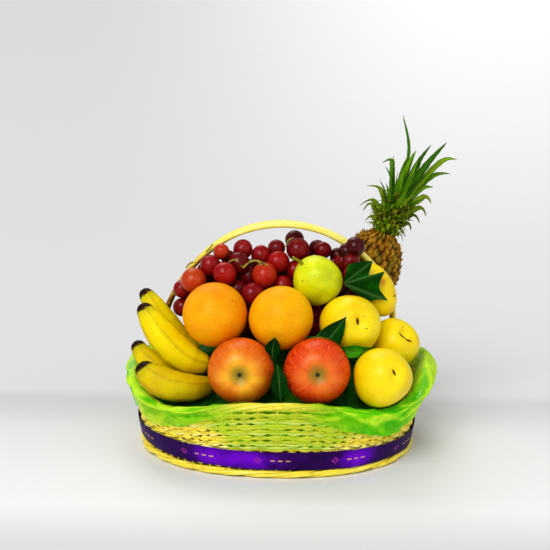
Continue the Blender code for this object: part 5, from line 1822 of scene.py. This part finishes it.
def make_lobed_blade(skin):
    """The lobed leaf: rings of points from its foot out to the lobes, with hollow edges between a
    lobe's tip and the notches beside it."""
    foot = place(LOBED_FOOT)
    across, up = unit(LOBED_ACROSS), unit(LOBED_UP)
    normal = unit(np.cross(across, up))
    fine, rings = 8, 16
    outline = []
    for i, ((r0, a0), (r1, a1)) in enumerate(zip(LOBES, LOBES[1:])):
        for k in range(fine):
            f = k / fine
            reach = blend(r0, r1, f) - 2.4 * math.sin(math.pi * f)
            outline.append((reach, blend(a0, a1, f), f if i % 2 else 1 - f))
    outline.append((*LOBES[-1], 0.0))
    points, leaf = [foot], [(0, 1, 0.4)]
    for n in range(1, rings + 1):
        share = n / rings
        for reach, angle, tipness in outline:
            bend = 0.0016 * math.sin(angle * 0.16) * share**2
            spot = foot + spoke(across, up, math.radians(angle)) * reach * share * MM
            points.append(moved_off(spot + normal * bend, LEAF_HALF, solid_balls(), LEAF_AIR))
            nearest = min(abs(angle - middle) for _, middle in LOBES[1::2])
            rib = math.exp(-((nearest / (2.0 / max(share, 0.15))) ** 2)) * 0.8
            vein = vein_at(share * 11 - nearest * 0.12) * 0.6
            leaf.append((vein, rib, 0.35 + 0.25 * share * tipness))
    count = len(outline)
    faces = [(0, i + 2, i + 1) for i in range(count - 1)] + grid(rings, count, False, start=1)
    thick_leaf("leaf_lobed", points, faces, skin, leaf)


# Floor, light and the rest of the studio.
STUDIO_REACH = 70.0  # the floor runs on as far as the picture shows


def make_stage():
    """A pale seamless floor, lightest round the basket. Its tone is painted light and shade: it
    changes softly with distance, with a faint painted shade line a little behind the basket where a
    wall would meet the floor, and it is painted lighter far away on the right."""
    mesh = bpy.data.meshes.new("studio_floor")
    far, low = STUDIO_REACH, -0.0004
    corners = [(-far, -far, low), (far, -far, low), (far, far, low), (-far, far, low)]
    mesh.from_pydata(corners, [], [(0, 1, 2, 3)])
    made, tree = new_skin("studio_paper_painted_light", Roughness=0.95, Specular_IOR_Level=0.0)
    x, y, _ = split(tree, where(tree))
    away = sums(tree, "MAXIMUM", sums(tree, "SUBTRACT", y, CAMERA_AT[1]), 0.3)
    slope = sums(tree, "DIVIDE", CAMERA_AT[2], away)
    aside = sums(tree, "DIVIDE", x, away)
    # painted light and shade: a darker tone ramp for the left and a lighter one for the right, by
    # distance, with the painted shade line at 0.333
    dark = ramp(
        tree, slope, (0.02, "D6D6D6"), (0.10, "D9D9D9"), (0.20, "DBDBDB"), (0.29, "DDDDDD"),
        (0.3315, "DDDDDD"), (0.3330, "D1D1D1"), (0.345, "D5D5D5"), (0.362, "E4E4E4"),
        (0.39, "EAEAEA"), (0.43, "F0F0F0"), (0.464, "DCDCDC"),
    )
    light = ramp(
        tree, slope, (0.02, "F9F9F9"), (0.10, "EFEFEF"), (0.20, "E2E2E2"), (0.29, "DEDEDE"),
        (0.3315, "DCDCDC"), (0.3330, "D1D1D1"), (0.345, "D6D6D6"), (0.362, "E4E4E4"),
        (0.39, "EBEBEB"), (0.43, "F0F0F0"), (0.464, "DCDCDC"),
    )
    grain = swayed(tree, aside, noise(tree, 0.4, 2.0), 0.02)
    paper = mixed(tree, eased(tree, grain, -0.16, 0.16), dark, light)
    far_aside = eased(tree, sums(tree, "ABSOLUTE", aside), 0.24, 0.42)
    mesh.materials.append(finished(made, mixed(tree, far_aside, paper, "DEDEDE")))
    floor = bpy.data.objects.new("studio_floor", mesh)
    bpy.context.scene.collection.objects.link(floor)


def add_sun(name, comes_from, strength, spread):
    """A wide soft light that falls evenly, from a direction given as a point it comes from."""
    data = bpy.data.lights.new(name, "SUN")
    data.energy = strength
    data.angle = math.radians(spread)
    light = bpy.data.objects.new(name, data)
    back = unit(comes_from)
    side, _ = axes_of(back)
    light.matrix_world = Matrix([np.cross(side, back), side, back]).transposed().to_4x4()
    bpy.context.scene.collection.objects.link(light)


def light_studio():
    """A soft even sky and three wide softboxes: in front on the left, on the right and behind."""
    world = bpy.data.worlds.new("studio_light")
    bpy.context.scene.world = world
    world.use_nodes = True
    sky = world.node_tree.nodes["Background"]
    sky.inputs[0].default_value = tone("FDFDFF")
    sky.inputs[1].default_value = 0.42
    add_sun("key_softbox", (-0.45, -1.0, 0.95), 1.75, 40)
    add_sun("fill_softbox", (1.2, -0.9, 0.6), 0.35, 60)
    add_sun("rear_softbox", (-0.25, 0.75, 1.0), 0.75, 35)
    settings = bpy.context.scene.view_settings
    settings.view_transform = "Standard"
    settings.look = "Medium High Contrast"
    settings.exposure = -0.16


def dress():
    place_camera()
    cane = cane_skin("yellow_cane", "D0A020", "FDE84A", "FFF894", 0.45)
    pale_cane = cane_skin("pale_handle_cane", "D8B030", "F6E658", "FFF690", 0.40)
    make_weave(cane)
    make_braid("rim_canes", "rim_braid", cane, rim_centre, 0.0024, (0.0027, 0.0029), 5, 11, 7)
    make_braid("foot_canes", "foot_braid", cane, foot_centre, 0.0021, (0.0024, 0.0021), 4, 9, 8)
    make_arch(pale_cane)
    make_satin(satin_skin())
    make_net_edge(net_skin("lime_net_gathered", "C6F436", "7EE00E", "4CD20C", 0.75))
    make_net_veil(net_skin("lime_net_single", "A8E81C", "8EDE16", "78D612", 0.36, 0.16))
    # painted shade: the filling gets much darker greens than the net's edge, for the shade between
    # and under the fruit
    make_net_filling(net_skin("lime_net_crumpled_painted_shade", "48981A", "286E14", "123C0A", 0.95))
    apple_left = apple_skin("apple_peel_left", "E26A14", "C8460C", "FAB828")
    apple_right = apple_skin("apple_peel_right", "E2400E", "B8220A", "EC7A20")
    yellow = pear_skin("yellow_pear_peel", "F2CC04", "FADC06", "FFE812", "9A6A14")
    orange_left = orange_skin("orange_peel", "F29A04", "F9A804", "FDB60A")
    # painted light: the right orange gets a lighter, yellower copy of the same peel
    orange_right = orange_skin("orange_peel_painted_lighter", "F3A604", "FAB604", "FDC60A")
    make_round_fruit((orange_left, orange_right), (apple_left, apple_right), yellow)
    make_rear_pear(yellow)
    green = pear_skin(
        "green_pear_peel", "BCC60A", "D8E20A", "ECF014", "4E5A0C", "ACB60C", specks=0.95,
        spacing=0.0044,
    )
    make_green_fruit(green)
    make_bananas(banana_skin())
    make_grape_heap(grape_skin())
    make_twigs(twig_skin())
    make_pine_body(rind_skin())
    make_crown_leaves(crown_skin())
    leaf = leaf_skin()
    for row in LEAVES:
        make_dark_leaf(row, leaf, LEAF_PAINTED_LIGHT[row[0]])
    make_lobed_blade(leaf)
    make_stage()
    light_studio()


dress()
